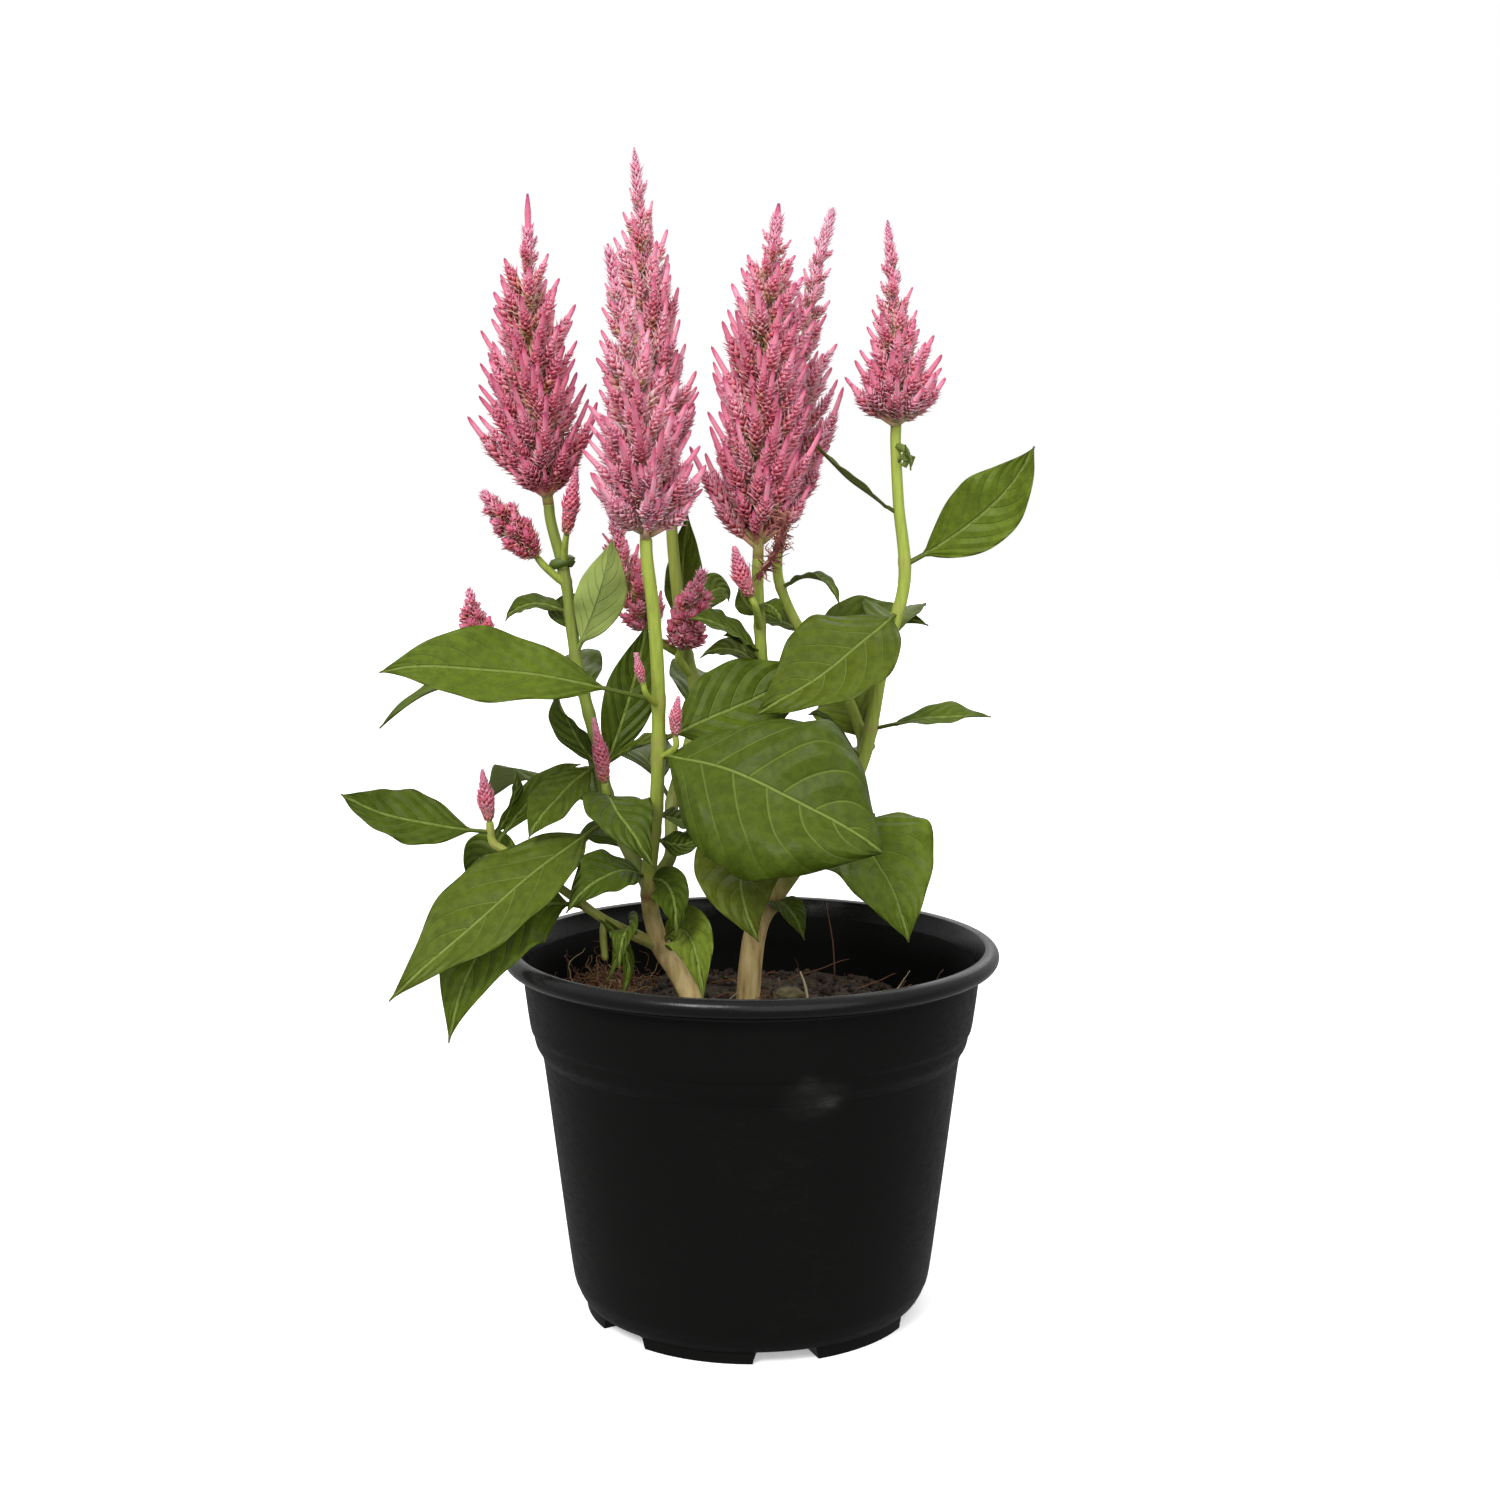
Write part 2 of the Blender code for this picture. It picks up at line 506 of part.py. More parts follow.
def foot_hollows():
    """What the foot blocks take from the soil: the blocks and all that lies outside them."""
    half = math.asin(FOOT_GAP_WIDTH / 2 / POT_OUTSIDE[0][0]) + (WALL + GAP) / POT_OUTSIDE[0][0]
    levels = [
        (SOIL_BASE / 2, FOOT_GAP_OUTER_RADIUS, half),
        (FOOT_GAP_HEIGHT + WALL + GAP, FOOT_GAP_OUTER_RADIUS, half),
    ]
    inner = FOOT_GAP_INNER_RADIUS - WALL - GAP
    return [piece("foot hollow", *sector(inner, levels, middle)) for middle in foot_gap_angles()]


def make_pot(surface):
    rim_middle = (RIM_RADIUS - RIM_ROLL, POT_HEIGHT - RIM_ROLL)
    roll = []
    for step in range(RIM_ROLL_STEPS + 1):
        turn = math.radians(RIM_ROLL_START + RIM_ROLL_SPAN * step / RIM_ROLL_STEPS)
        roll.append((rim_middle[0] + RIM_ROLL * math.cos(turn), rim_middle[1] + RIM_ROLL * math.sin(turn)))
    profile = [(0.0, 0.0)] + POT_OUTSIDE + roll + POT_INSIDE[::-1] + [(0.0, FLOOR_THICKNESS)]
    pot = piece("pot", *turned(profile, POT_SEGMENTS))
    combine(pot, foot_blocks(), "UNION", "EXACT")
    half = math.asin(FOOT_GAP_WIDTH / 2 / POT_OUTSIDE[0][0])
    levels = [
        (-WALL, FOOT_GAP_OUTER_RADIUS, half),
        (FOOT_GAP_HEIGHT, FOOT_GAP_OUTER_RADIUS, half * FOOT_GAP_TAPER),
    ]
    cutters = []
    for middle in foot_gap_angles():
        cutters.append(piece("foot gap", *sector(FOOT_GAP_INNER_RADIUS, levels, middle)))
        x = DRAIN_HOLE_PLACE * math.cos(middle)
        y = DRAIN_HOLE_PLACE * math.sin(middle)
        bottom, top = FOOT_GAP_HEIGHT / 2, FOOT_GAP_HEIGHT * 2
        hole = cylinder(x, y, bottom, top, DRAIN_HOLE_RADIUS, DRAIN_HOLE_SIDES)
        cutters.append(piece("drain hole", *hole))
    combine(pot, cutters, "DIFFERENCE", "EXACT")
    finish(pot, surface, 35)


def soil_height(x, y):
    """Lumpy top of the soil, a little higher in the middle."""
    lumps = noise.noise(Vector((x * SOIL_LUMPS, y * SOIL_LUMPS, 0.7)))
    crumbs = noise.noise(Vector((x * SOIL_CRUMBS, y * SOIL_CRUMBS, 3.1)))
    return SOIL_TOP + SOIL_LUMP * (lumps + 0.5 * crumbs) - SOIL_DOME * (x * x + y * y)


def make_soil(surface):
    wall = [(radius - GAP, height) for radius, height in POT_INSIDE if height < SOIL_TOP - SOIL_EDGE_DEPTH]
    wall[0] = (wall[0][0], SOIL_BASE)
    edge = wall[-1][0] + SOIL_EDGE_SWELL
    profile = [(0.0, SOIL_BASE)] + wall + [(edge, SOIL_TOP)]
    profile += [(edge * (1.0 - ring / SOIL_RINGS), SOIL_TOP) for ring in range(1, SOIL_RINGS + 1)]

    def lumpy(point):
        if point.z < SOIL_TOP:
            return point
        return Vector((point.x, point.y, soil_height(point.x, point.y)))

    soil = piece("soil", *turned(profile, POT_SEGMENTS, lumpy))
    holes = foot_hollows()
    for route in TRUNKS:
        x, y, _, radius = STEM_ROUTES[route][0]
        hole = cylinder(x, y, STEM_FOOT - GAP, STEM_HOLE_TOP, radius + STEM_HOLE_PLAY, STEM_HOLE_SIDES)
        holes.append(piece("hole", *hole))
    combine(soil, holes, "DIFFERENCE", "EXACT")
    finish(soil, surface)


def make_bark_chip(surface):
    """A rounded lump lying on the soil."""
    shell = bmesh.new()
    bmesh.ops.create_icosphere(shell, subdivisions=2, radius=1.0)
    for vert in shell.verts:
        bump = 1.0 + BARK_CHIP_LUMP * noise.noise(vert.co * BARK_CHIP_LUMPS)
        vert.co = vert.co * Vector(BARK_CHIP_HALF_SIZES) * bump
    mesh = bpy.data.meshes.new("bark_chip")
    shell.to_mesh(mesh)
    shell.free()
    chip = bpy.data.objects.new("bark_chip", mesh)
    bpy.context.scene.collection.objects.link(chip)
    x, y = BARK_CHIP
    lowest = min((vert.co.z - soil_height(x + vert.co.x, y + vert.co.y) for vert in mesh.vertices))
    chip.location = (x, y, GAP + BARK_CHIP_LIFT - lowest)
    finish(chip, surface)


def smooth_path(points, per_span):
    """A curve through the points, by Catmull and Rom's rule, with per_span steps between two of them."""
    ends = [points[0] * 2 - points[1]] + list(points) + [points[-1] * 2 - points[-2]]
    path = []
    for before, start, end, after in zip(ends, ends[1:], ends[2:], ends[3:]):
        for step in range(per_span):
            t = step / per_span
            path.append(
                (start * 2 + (end - before) * t + (before * 2 - start * 5 + end * 4 - after) * t * t
                 + (start * 3 - before - end * 3 + after) * t ** 3) * 0.5
            )
    return path + [points[-1]]


def cross_axes(direction, start):
    """Two unit vectors across a direction, the first as near to start as it can be."""
    first = (start - direction * start.dot(direction)).normalized()
    return first, direction.cross(first)


def tube(path, radii, sides):
    """Points and faces of a closed tube along a path, with flat ends."""
    points = []
    first = Vector((1.0, 0.2, 0.1))
    for place, (centre, radius) in enumerate(zip(path, radii)):
        before = path[max(place - 1, 0)]
        after = path[min(place + 1, len(path) - 1)]
        first, second = cross_axes((after - before).normalized(), first)
        for step in range(sides):
            angle = math.tau * step / sides
            points.append(centre + (first * math.cos(angle) + second * math.sin(angle)) * radius)
    faces = [list(range(sides))[::-1], list(range(len(points) - sides, len(points)))]
    for ring in range(len(path) - 1):
        for step in range(sides):
            low = ring * sides + step
            beside = ring * sides + (step + 1) % sides
            faces.append([low, beside, beside + sides, low + sides])
    return points, faces


def bloom_on(route):
    for bloom in BLOOMS.values():
        if bloom.get("route") == route:
            return bloom
    return None


def route_points(route):
    """A route with its foot in the soil and its end straight under the bloom that it carries, as 4D points."""
    points = [Vector(point) for point in STEM_ROUTES[route]]
    if route in TRUNKS:
        x, y, height, radius = points[0]
        foot = [Vector((x, y, STEM_FOOT, radius)), Vector((x, y, (STEM_FOOT + height) / 2, radius))]
        points = foot + points
    bloom = bloom_on(route)
    base, above = Vector(bloom["axis"][0]), Vector(bloom["axis"][1])
    along = (above - base).normalized()
    radius = points[-1][3] * NECK_TAPER
    return points + [Vector((*(base - along * NECK), radius)), Vector((*base, radius))]


def route_path(route):
    path = smooth_path(route_points(route), 2)
    return [Vector(point[:3]) for point in path], [point[3] for point in path]


def place_on_route(route, height):
    """The point of a stem's centre line at a height above the surface."""
    path, _ = route_path(route)
    for low, high in zip(path, path[1:]):
        if low.z <= height <= high.z:
            return low.lerp(high, (height - low.z) / (high.z - low.z))
    return path[-1]


def shoot(route, height, radius, bloom):
    """A side shoot from a stem to the base of its bloom."""
    base, above = Vector(bloom["axis"][0]), Vector(bloom["axis"][1])
    along = (above - base).normalized()
    root = place_on_route(route, height)
    neck = base - along * NECK / 2
    path = smooth_path([root, root.lerp(neck, SHOOT_BEND), neck, base], 2)
    return tube(path, [radius * SHOOT_FLARE] + [radius] * (len(path) - 1), SHOOT_SIDES)


def blade_half_width(share):
    """Half the width of a leaf against its greatest, at a share of its blade: oval with a drawn-out tip."""
    widest = LEAF_BASE_POWER / (LEAF_BASE_POWER + LEAF_TIP_POWER)
    most = widest ** LEAF_BASE_POWER * (1.0 - widest) ** LEAF_TIP_POWER
    return share ** LEAF_BASE_POWER * (1.0 - share) ** LEAF_TIP_POWER / most


def leaf(base, middle, tip, width, upper_face, stalk):
    """A thin blade on a stalk, bent along its midrib, folded a little and waved at its edges."""
    turning = middle * 2 - (base + tip) / 2
    looks = Vector(upper_face).normalized()
    stations = SMALL_LEAF_STATIONS if width < SMALL_LEAF_WIDTH else LEAF_STATIONS
    shares = [0.0, stalk] + [stalk + (1.0 - stalk) * share for share in stations[1:]]
    rows = []
    for place, share in enumerate(shares):
        centre = base * (1 - share) ** 2 + turning * 2 * share * (1 - share) + tip * share ** 2
        along = ((turning - base) * (1 - share) + (tip - turning) * share).normalized()
        normal, _ = cross_axes(along, looks)
        across = along.cross(normal)
        of_blade = max(0.0, (share - stalk) / (1.0 - stalk))
        half = max(STALK_HALF_WIDTH * (1.0 - 0.6 * share), width / 2 * blade_half_width(of_blade))
        thick = LEAF_THICKNESS if place > 1 else STALK_THICKNESS
        wave = math.sin(of_blade * math.tau * LEAF_WAVES + width * LEAF_WAVE_SHIFT) * LEAF_WAVE
        for side in (-1, 0, 1):
            rise = abs(side) * half * LEAF_FOLD + side * half * wave
            point = centre + across * side * half + normal * rise
            rows.append((point + normal * thick / 2, point - normal * thick / 2))
    points = [top for top, _ in rows] + [bottom for _, bottom in rows]
    under = len(rows)
    faces = []
    for row in range(len(shares) - 1):
        for side in (0, 1):
            a, b = row * 3 + side, row * 3 + side + 1
            c, d = a + 3, b + 3
            for face in ((a, b, d), (a, d, c)):
                faces.append(face)
                faces.append(tuple(corner + under for corner in reversed(face)))
    outline = [row * 3 for row in range(len(shares))]
    outline += [len(rows) - 2] + [row * 3 + 2 for row in reversed(range(len(shares)))] + [1]
    for start, end in zip(outline, outline[1:] + outline[:1]):
        faces.append((start, end, end + under))
        faces.append((start, end + under, start + under))
    return points, faces


def make_leafy_stem(name, surface):
    parts = []
    for route in LEAFY_STEMS[name]:
        parts.append(piece(name, *tube(*route_path(route), STEM_SIDES)))
        for bloom in BLOOMS.values():
            if "shoot" in bloom and bloom["shoot"][0] == route:
                parts.append(piece("shoot", *shoot(*bloom["shoot"], bloom)))
        for stem, height, middle, tip, width, upper_face, stalk in LEAVES:
            if stem == route:
                base = place_on_route(route, height)
                blade = leaf(base, Vector(middle), Vector(tip), width, upper_face, stalk)
                parts.append(piece("leaf", *blade))
    trunk, others = parts[0], parts[1:]
    trunk.name = name
    combine(trunk, others, "UNION", "MANIFOLD")
    finish(trunk, surface)


def radius_at(radii, share):
    for (low, low_radius), (high, high_radius) in zip(radii, radii[1:]):
        if low <= share <= high:
            return low_radius + (high_radius - low_radius) * (share - low) / (high - low)
    return radii[-1][1]


def along_axis(path, share):
    place = min(max(share, 0.0), 1.0) * (len(path) - 1)
    low = min(int(place), len(path) - 2)
    return path[low].lerp(path[low + 1], place - low)


def spikelet(root, tip, radius, turn):
    """A three-sided spike from its root to its tip."""
    first, second = cross_axes((tip - root).normalized(), Vector((0.31, 0.27, 0.91)))
    points = []
    for step in range(3):
        angle = turn + math.tau * step / 3
        points.append(root + (first * math.cos(angle) + second * math.sin(angle)) * radius)
    return points + [tip], [(0, 1, 2), (0, 1, 3), (1, 2, 3), (2, 0, 3)]


def bloom_core(name, path, radii, rings):
    """The slim body of a bloom, round its axis."""
    shares = [ring / (rings - 1) for ring in range(rings)]
    widths = [max(CORE_LEAST_RADIUS, CORE_SHARE * radius_at(radii, share)) for share in shares]
    widths[0] = min(widths[0], CORE_FOOT_RADIUS)
    return piece(name, *tube([along_axis(path, share) for share in shares], widths, CORE_SIDES))


def tip_shares(radii, count):
    """Shares of a bloom's axis for the tips of its spikelets, closer together where it is wide."""
    steps = [FIRST_TIP + (LAST_TIP - FIRST_TIP) * step / TIP_STEPS for step in range(TIP_STEPS + 1)]
    crowding = [radius_at(radii, share) + SLIM_CROWDING for share in steps]
    shares = []
    passed = 0.0
    for share, weight in zip(steps, crowding):
        passed += weight
        while len(shares) < count and passed >= sum(crowding) * (len(shares) + 0.5) / count:
            shares.append(share)
    return shares


def make_bloom(name, surface):
    """A plume: a slim core with spikelets that stand out of it all round, upwards and outwards."""
    bloom = BLOOMS[name]
    draw = random.Random(name)
    axis = [Vector(point) for point in bloom["axis"]]
    axis[0] = axis[0] + (axis[1] - axis[0]).normalized() * BLOOM_GAP
    path = smooth_path(axis, 6)
    length = sum((end - start).length for start, end in zip(path, path[1:]))
    radii = bloom["radii"]
    small = bloom["spikelets"] <= SMALL_BLOOM
    parts = [bloom_core(name, path, radii, SMALL_CORE_RINGS if small else CORE_RINGS)]
    lowest = SMALL_LOWEST_ROOT if small else LOWEST_ROOT
    for place, share in enumerate(tip_shares(radii, bloom["spikelets"])):
        reach = radius_at(radii, share) * draw.uniform(*SPIKELET_REACH)
        root_share = max(lowest, share - SPIKELET_SLOPE * reach / length)
        tip_share = max(share, root_share + SPIKELET_LEAST_RISE * reach / length)
        root = along_axis(path, root_share)
        upward = (along_axis(path, tip_share + SLOPE_SPAN) - along_axis(path, tip_share - SLOPE_SPAN)).normalized()
        first, second = cross_axes(upward, Vector((1.0, 0.0, 0.0)))
        turn = place * GOLDEN_ANGLE + draw.uniform(-TURN_VARIETY, TURN_VARIETY)
        outward = first * math.cos(turn) + second * math.sin(turn)
        tip = along_axis(path, tip_share) + outward * reach
        thick = min(SPIKELET_RADIUS, SPIKELET_STOUTNESS * reach + SPIKELET_LEAST_RADIUS)
        thick *= draw.uniform(*SPIKELET_VARIETY)
        parts.append(piece("spikelet", *spikelet(root.lerp(tip, SPIKELET_ROOT), tip, thick, turn)))
    parts[0].name = name
    combine(parts[0], parts[1:], "UNION", "MANIFOLD")
    finish(parts[0], surface)


def main():
    clear_scene()
    make_pot(material("black plastic", (0.012, 0.012, 0.012), 0.38))
    make_soil(material("dark peat", (0.030, 0.018, 0.012), 0.95))
    make_bark_chip(material("olive bark", (0.10, 0.085, 0.04), 0.9))
    green = material("green leaf", (0.13, 0.24, 0.05), 0.5)
    for name in LEAFY_STEMS:
        make_leafy_stem(name, green)
    pink = material("pink floret", (0.75, 0.22, 0.36), 0.6)
    for name in BLOOMS:
        make_bloom(name, pink)


main()
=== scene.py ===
"""Looks of a plume celosia in a round nursery pot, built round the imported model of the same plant.

Metres, +Z up. The origin is under the middle of the pot, on the surface that it stands on.
The plant is seen from -Y, and +X is to the right.
"""

import math

import bmesh
import bpy
import numpy as np
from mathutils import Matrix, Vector, noise


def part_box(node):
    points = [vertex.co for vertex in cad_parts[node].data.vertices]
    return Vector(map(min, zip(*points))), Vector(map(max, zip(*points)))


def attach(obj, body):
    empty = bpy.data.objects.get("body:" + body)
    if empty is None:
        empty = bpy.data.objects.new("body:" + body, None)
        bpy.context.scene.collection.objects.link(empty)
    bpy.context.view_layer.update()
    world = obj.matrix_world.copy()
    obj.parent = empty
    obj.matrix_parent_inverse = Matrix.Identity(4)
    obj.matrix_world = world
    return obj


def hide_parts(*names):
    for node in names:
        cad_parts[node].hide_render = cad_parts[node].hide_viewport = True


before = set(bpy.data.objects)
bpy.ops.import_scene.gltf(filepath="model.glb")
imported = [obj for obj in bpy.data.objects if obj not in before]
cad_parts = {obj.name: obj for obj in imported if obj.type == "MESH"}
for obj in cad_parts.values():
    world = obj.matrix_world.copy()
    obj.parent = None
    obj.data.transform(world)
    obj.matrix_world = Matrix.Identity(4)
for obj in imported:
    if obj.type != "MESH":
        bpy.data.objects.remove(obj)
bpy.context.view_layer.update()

# Camera, at the height and slope of the photograph
CAMERA_PLACE = (-0.0004, -0.594, 0.2426)
CAMERA_SLOPE = 0.1204
CAMERA_SENSOR = 36.0
CAMERA_LENS = 47.74

# Studio: how bright the surroundings are below and above, the floor's own glow and half its width, and the
# lamps as (name, strength, softness in degrees, angle from straight down, angle round from the front)
SKY_LOW = 0.42
SKY_HIGH = 1.0
FLOOR_GLOW = 0.35
STUDIO_REACH = 6.0
SUNS = (
    ("key", 2.1, 22.0, 48.0, -28.0),
    ("fill", 0.95, 55.0, 68.0, 22.0),
    ("back", 0.55, 50.0, 50.0, 165.0),
)

# Pot: a 150 mm nursery pot
RIM_RADIUS = 0.075
POT_HEIGHT = 0.112
WALL = 0.0012
FLOOR_THICKNESS = 0.0016
POT_SEGMENTS = 160
FOOT_GAPS = 6
FOOT_GAP_WIDTH = 0.020
FOOT_GAP_HEIGHT = 0.004
FOOT_GAP_START = math.radians(-78.5)
FOOT_GAP_INNER_RADIUS = 0.040
# Outer radii of the blocks that wall a foot gap, at the foot, at its bend and at the roof of the gap
FOOT_BLOCK_RADII = (0.0499, 0.0502, 0.0522)
FOOT_BEND_HEIGHT = 0.0032
FOOT_GAP_OUTER_RADIUS = 0.060
FOOT_GAP_TAPER = 0.86
SECTOR_STEPS = 8
DRAIN_HOLE_RADIUS = 0.003
DRAIN_HOLE_PLACE = 0.045
DRAIN_HOLE_SPAN = (0.002, 0.008)
DRAIN_HOLE_SIDES = 16

# Outer face of the pot as (radius, height), from the foot to the underside of the rim
POT_OUTSIDE = [
    (0.0508, 0.0),
    (0.0510, FOOT_BEND_HEIGHT),
    (0.0523, 0.0046),
    (0.0538, 0.0075),
    (0.0553, 0.0135),
    (0.0589, 0.0420),
    (0.0630, 0.0755),
    (0.0640, 0.0800),
    (0.0656, 0.0830),
    (0.0664, 0.0868),
    (0.0672, 0.0884),
    (0.0688, 0.1005),
    (0.0692, 0.1062),
]
# The rolled rim, a part of a circle from under its outside to its inside
RIM_ROLL = 0.0028
RIM_ROLL_START = -80.0
RIM_ROLL_SPAN = 200.0
RIM_ROLL_STEPS = 14
RIM_START = POT_OUTSIDE[-1][1] - 0.0008
# Inner face of the pot, from the floor to the rim
POT_INSIDE = [
    (0.0496, FLOOR_THICKNESS),
    (0.0498, FOOT_BEND_HEIGHT),
    (0.0525, 0.0080),
    (0.0541, 0.0140),
    (0.0628, 0.0800),
    (0.0652, 0.0868),
    (0.0660, 0.0884),
    (0.0680, 0.1062),
]
# Radii at which the flat foot and floor have points
FLOOR_RADII = (0.0003, 0.02, 0.04)
# A corner sharper than this shows as an edge
POT_CREASE = math.radians(30)
# The two finishes of the black plastic: how light, how rough and how shiny each is
PLASTICS = {
    "wall": (0.0036, 0.42, 0.09),
    "rim": (0.0028, 0.20, 0.22),
}
# Painted highlights: pale spots on the wall as (place, size, strength), and how much each is squeezed per
# axis
POT_PAINTED_HIGHLIGHTS = (
    ((0.0216, -0.0610, 0.0802), 0.0048, 0.15),
    ((0.0175, -0.0620, 0.0815), 0.0130, 0.04),
    ((0.0155, -0.0640, 0.0870), 0.0050, 0.04),
)
PAINTED_HIGHLIGHT_SHAPE = (1.0, 1.0, 1.5)

# Soil
SOIL_TOP = 0.0895
SOIL_LUMP = 0.0022
# The soil's lumps as (fineness, place in the noise, share), its fall from the middle outwards, and the finer
# grains on its top as (fineness, height)
SOIL_LUMPS = ((60.0, 0.7, 1.0), (150.0, 3.1, 0.5))
SOIL_DOME = 0.9
SOIL_GRAINS = ((420.0, 0.0010), (1100.0, 0.0006))
SOIL_RADIUS = 0.0626
SOIL_RINGS = 90
SOIL_TURNS = 200
# Side of the soil against the pot as (radius, height), from its top to its floor
SOIL_SIDE = [(SOIL_RADIUS + 0.0008, 0.084), (SOIL_RADIUS - 0.0010, 0.074), (0.0550, 0.0300), (0.0535, 0.0200)]
STEM_FOOT = 0.080
# How many crumbs and roots lie on the soil, and the least and greatest of their sizes
CRUMBS = 620
CRUMB_SIZES = (0.0005, 0.0017)
CRUMB_ROUGHNESS = 0.3
LOOSE_ROOTS = 260
LOOSE_ROOT_LENGTHS = (0.004, 0.016)
LOOSE_ROOT_RADII = (0.00010, 0.00022)
ROOT_TANGLE = 420
TANGLE_LENGTHS = (0.006, 0.020)
TANGLE_RADII = (0.00012, 0.00024)
# The middle of the tangle, how far it spreads each way, and how high its roots start above the soil
TANGLE_MIDDLE = (-0.046, 0.020)
TANGLE_SPREAD = (0.0055, 0.011)
TANGLE_HEIGHT = 0.009
TRUNK_ROOTS = 16
TRUNK_ROOT_LENGTHS = (0.004, 0.011)
TRUNK_ROOT_RADIUS = 0.00020
# No root or straw lies farther than this from the pot's axis
FIBRE_REACH = 0.0618
# Straws and sticks in the soil: start, the way each points, length, radius, shade
STRAWS = [
    ((0.0176, 0.017, 0.0890), (-0.06, -0.10, 1.0), 0.0110, 0.00060, 0.99),
    ((0.0460, 0.030, 0.0885), (0.45, -0.10, 0.8), 0.0090, 0.00035, 0.92),
    ((0.0275, 0.050, 0.0880), (0.02, 0.0, 1.0), 0.0260, 0.00032, 0.48),
    ((-0.0130, 0.042, 0.0890), (0.65, -0.7, 0.30), 0.0300, 0.00045, 0.55),
    ((-0.0570, 0.014, 0.0880), (0.02, 0.0, 1.0), 0.0200, 0.00025, 0.45),
    ((-0.0510, 0.028, 0.0880), (0.35, 0.0, 1.0), 0.0230, 0.00022, 0.45),
    ((-0.0010, 0.028, 0.0890), (0.5, -0.3, 0.9), 0.0100, 0.00028, 0.90),
    ((0.0020, 0.030, 0.0885), (-0.7, 0.1, 0.5), 0.0120, 0.00026, 0.85),
    ((0.0330, 0.034, 0.0885), (0.9, 0.2, 0.3), 0.0160, 0.00028, 0.60),
    ((0.0400, 0.024, 0.0880), (0.9, 0.1, 0.35), 0.0120, 0.00028, 0.66),
    ((0.0100, 0.044, 0.0885), (0.8, 0.2, 0.30), 0.0240, 0.00030, 0.50),
]

# Stem routes from the soil upwards as (x, y, z, radius)
TRUNKS = ("front", "right")
STEM_ROUTES = {
    "left": [
        (-0.0305, -0.003, 0.127, 0.0020),
        (-0.034, -0.001, 0.135, 0.0020),
        (-0.039, 0.002, 0.143, 0.0020),
        (-0.0445, 0.006, 0.158, 0.0020),
        (-0.047, 0.007, 0.171, 0.0019),
        (-0.053, 0.008, 0.197, 0.0018),
        (-0.056, 0.008, 0.221, 0.0017),
    ],
    "front": [
        (-0.018, 0.005, 0.092, 0.0034),
        (-0.023, 0.004, 0.102, 0.0032),
        (-0.028, 0.002, 0.111, 0.0029),
        (-0.031, -0.004, 0.129, 0.0024),
        (-0.028, -0.012, 0.157, 0.0021),
        (-0.027, -0.018, 0.188, 0.0020),
        (-0.028, -0.022, 0.212, 0.0019),
    ],
    "front_arm": [
        (-0.028, 0.002, 0.110, 0.0020),
        (-0.044, -0.006, 0.120, 0.0014),
        (-0.057, -0.008, 0.130, 0.0013),
        (-0.073, -0.008, 0.141, 0.0012),
    ],
    "back": [
        (-0.0305, -0.003, 0.126, 0.0020),
        (-0.0275, 0.001, 0.133, 0.0020),
        (-0.0245, 0.006, 0.139, 0.0020),
        (-0.0245, 0.015, 0.153, 0.0020),
        (-0.019, 0.028, 0.171, 0.0020),
        (-0.0175, 0.034, 0.183, 0.0020),
        (-0.022, 0.036, 0.205, 0.0019),
        (-0.025, 0.036, 0.235, 0.0018),
    ],
    "centre": [
        (0.0055, 0.012, 0.121, 0.0021),
        (0.007, 0.014, 0.1285, 0.0021),
        (0.0065, 0.015, 0.138, 0.0020),
        (0.0065, 0.014, 0.147, 0.0020),
        (0.005, 0.006, 0.173, 0.0019),
        (0.003, 0.002, 0.199, 0.0018),
    ],
    "right": [
        (-0.001, 0.014, 0.092, 0.0037),
        (0.001, 0.013, 0.111, 0.0035),
        (0.006, 0.012, 0.122, 0.0031),
        (0.023, 0.009, 0.147, 0.0027),
        (0.034, 0.008, 0.167, 0.0022),
        (0.040, 0.007, 0.197, 0.0019),
        (0.046, 0.006, 0.221, 0.0019),
        (0.044, 0.005, 0.244, 0.0017),
    ],
    "right_inner": [
        (0.033, 0.008, 0.165, 0.0020),
        (0.034, 0.012, 0.173, 0.0018),
        (0.027, 0.018, 0.190, 0.0017),
        (0.015, 0.024, 0.206, 0.0016),
        (0.009, 0.026, 0.219, 0.0016),
    ],
}
# Routes that grow from each of the two trunks, the trunk first
LEAFY_STEMS = {
    "leafy_stems_left": ["front", "front_arm", "left", "back"],
    "leafy_stems_right": ["right", "right_inner", "centre"],
}
# Heights of the red-brown rings round the trunks
SCARS = {"front": 0.1275, "right": 0.1225}
# How far a stem swells at a joint and at a red-brown ring, how high each ring reaches along the stem, and how
# far a joint lies above the foot of its leaf
JOINT_SWELLING = 0.13
JOINT_REACH = 0.0012
JOINT_RISE = 0.0005
SCAR_SWELLING = 0.10
SCAR_REACH = 0.0011
# Short stubs that hang from the stems, as their points, radius and how leafy their green is, and leaves
# that curl round a stem, as the route, its height, the curl's radius and its thickness
STUBS = {
    "leafy_stems_left": [
        ([(-0.0440, -0.0055, 0.1200), (-0.0445, -0.0070, 0.1160), (-0.0440, -0.0070, 0.1080)], 0.0012, 0.0),
    ],
    "leafy_stems_right": [
        (
            [(0.0437, 0.004, 0.2612), (0.0456, 0.0016, 0.26), (0.0462, 0.0012, 0.2575),
             (0.0452, 0.0016, 0.2552)],
            0.0012, 0.7,
        ),
    ],
}
CURLS = {"leafy_stems_left": [("left", 0.2262, 0.0025, 0.0015)]}
# How far a stem's green has turned to that of its leaves
DARK_STEMS = {"left": 0.45, "centre": 0.15, "back": 0.25}
# A leaf wider than this leaves a swollen joint on its stem
LEAST_JOINTED_WIDTH = 0.0085

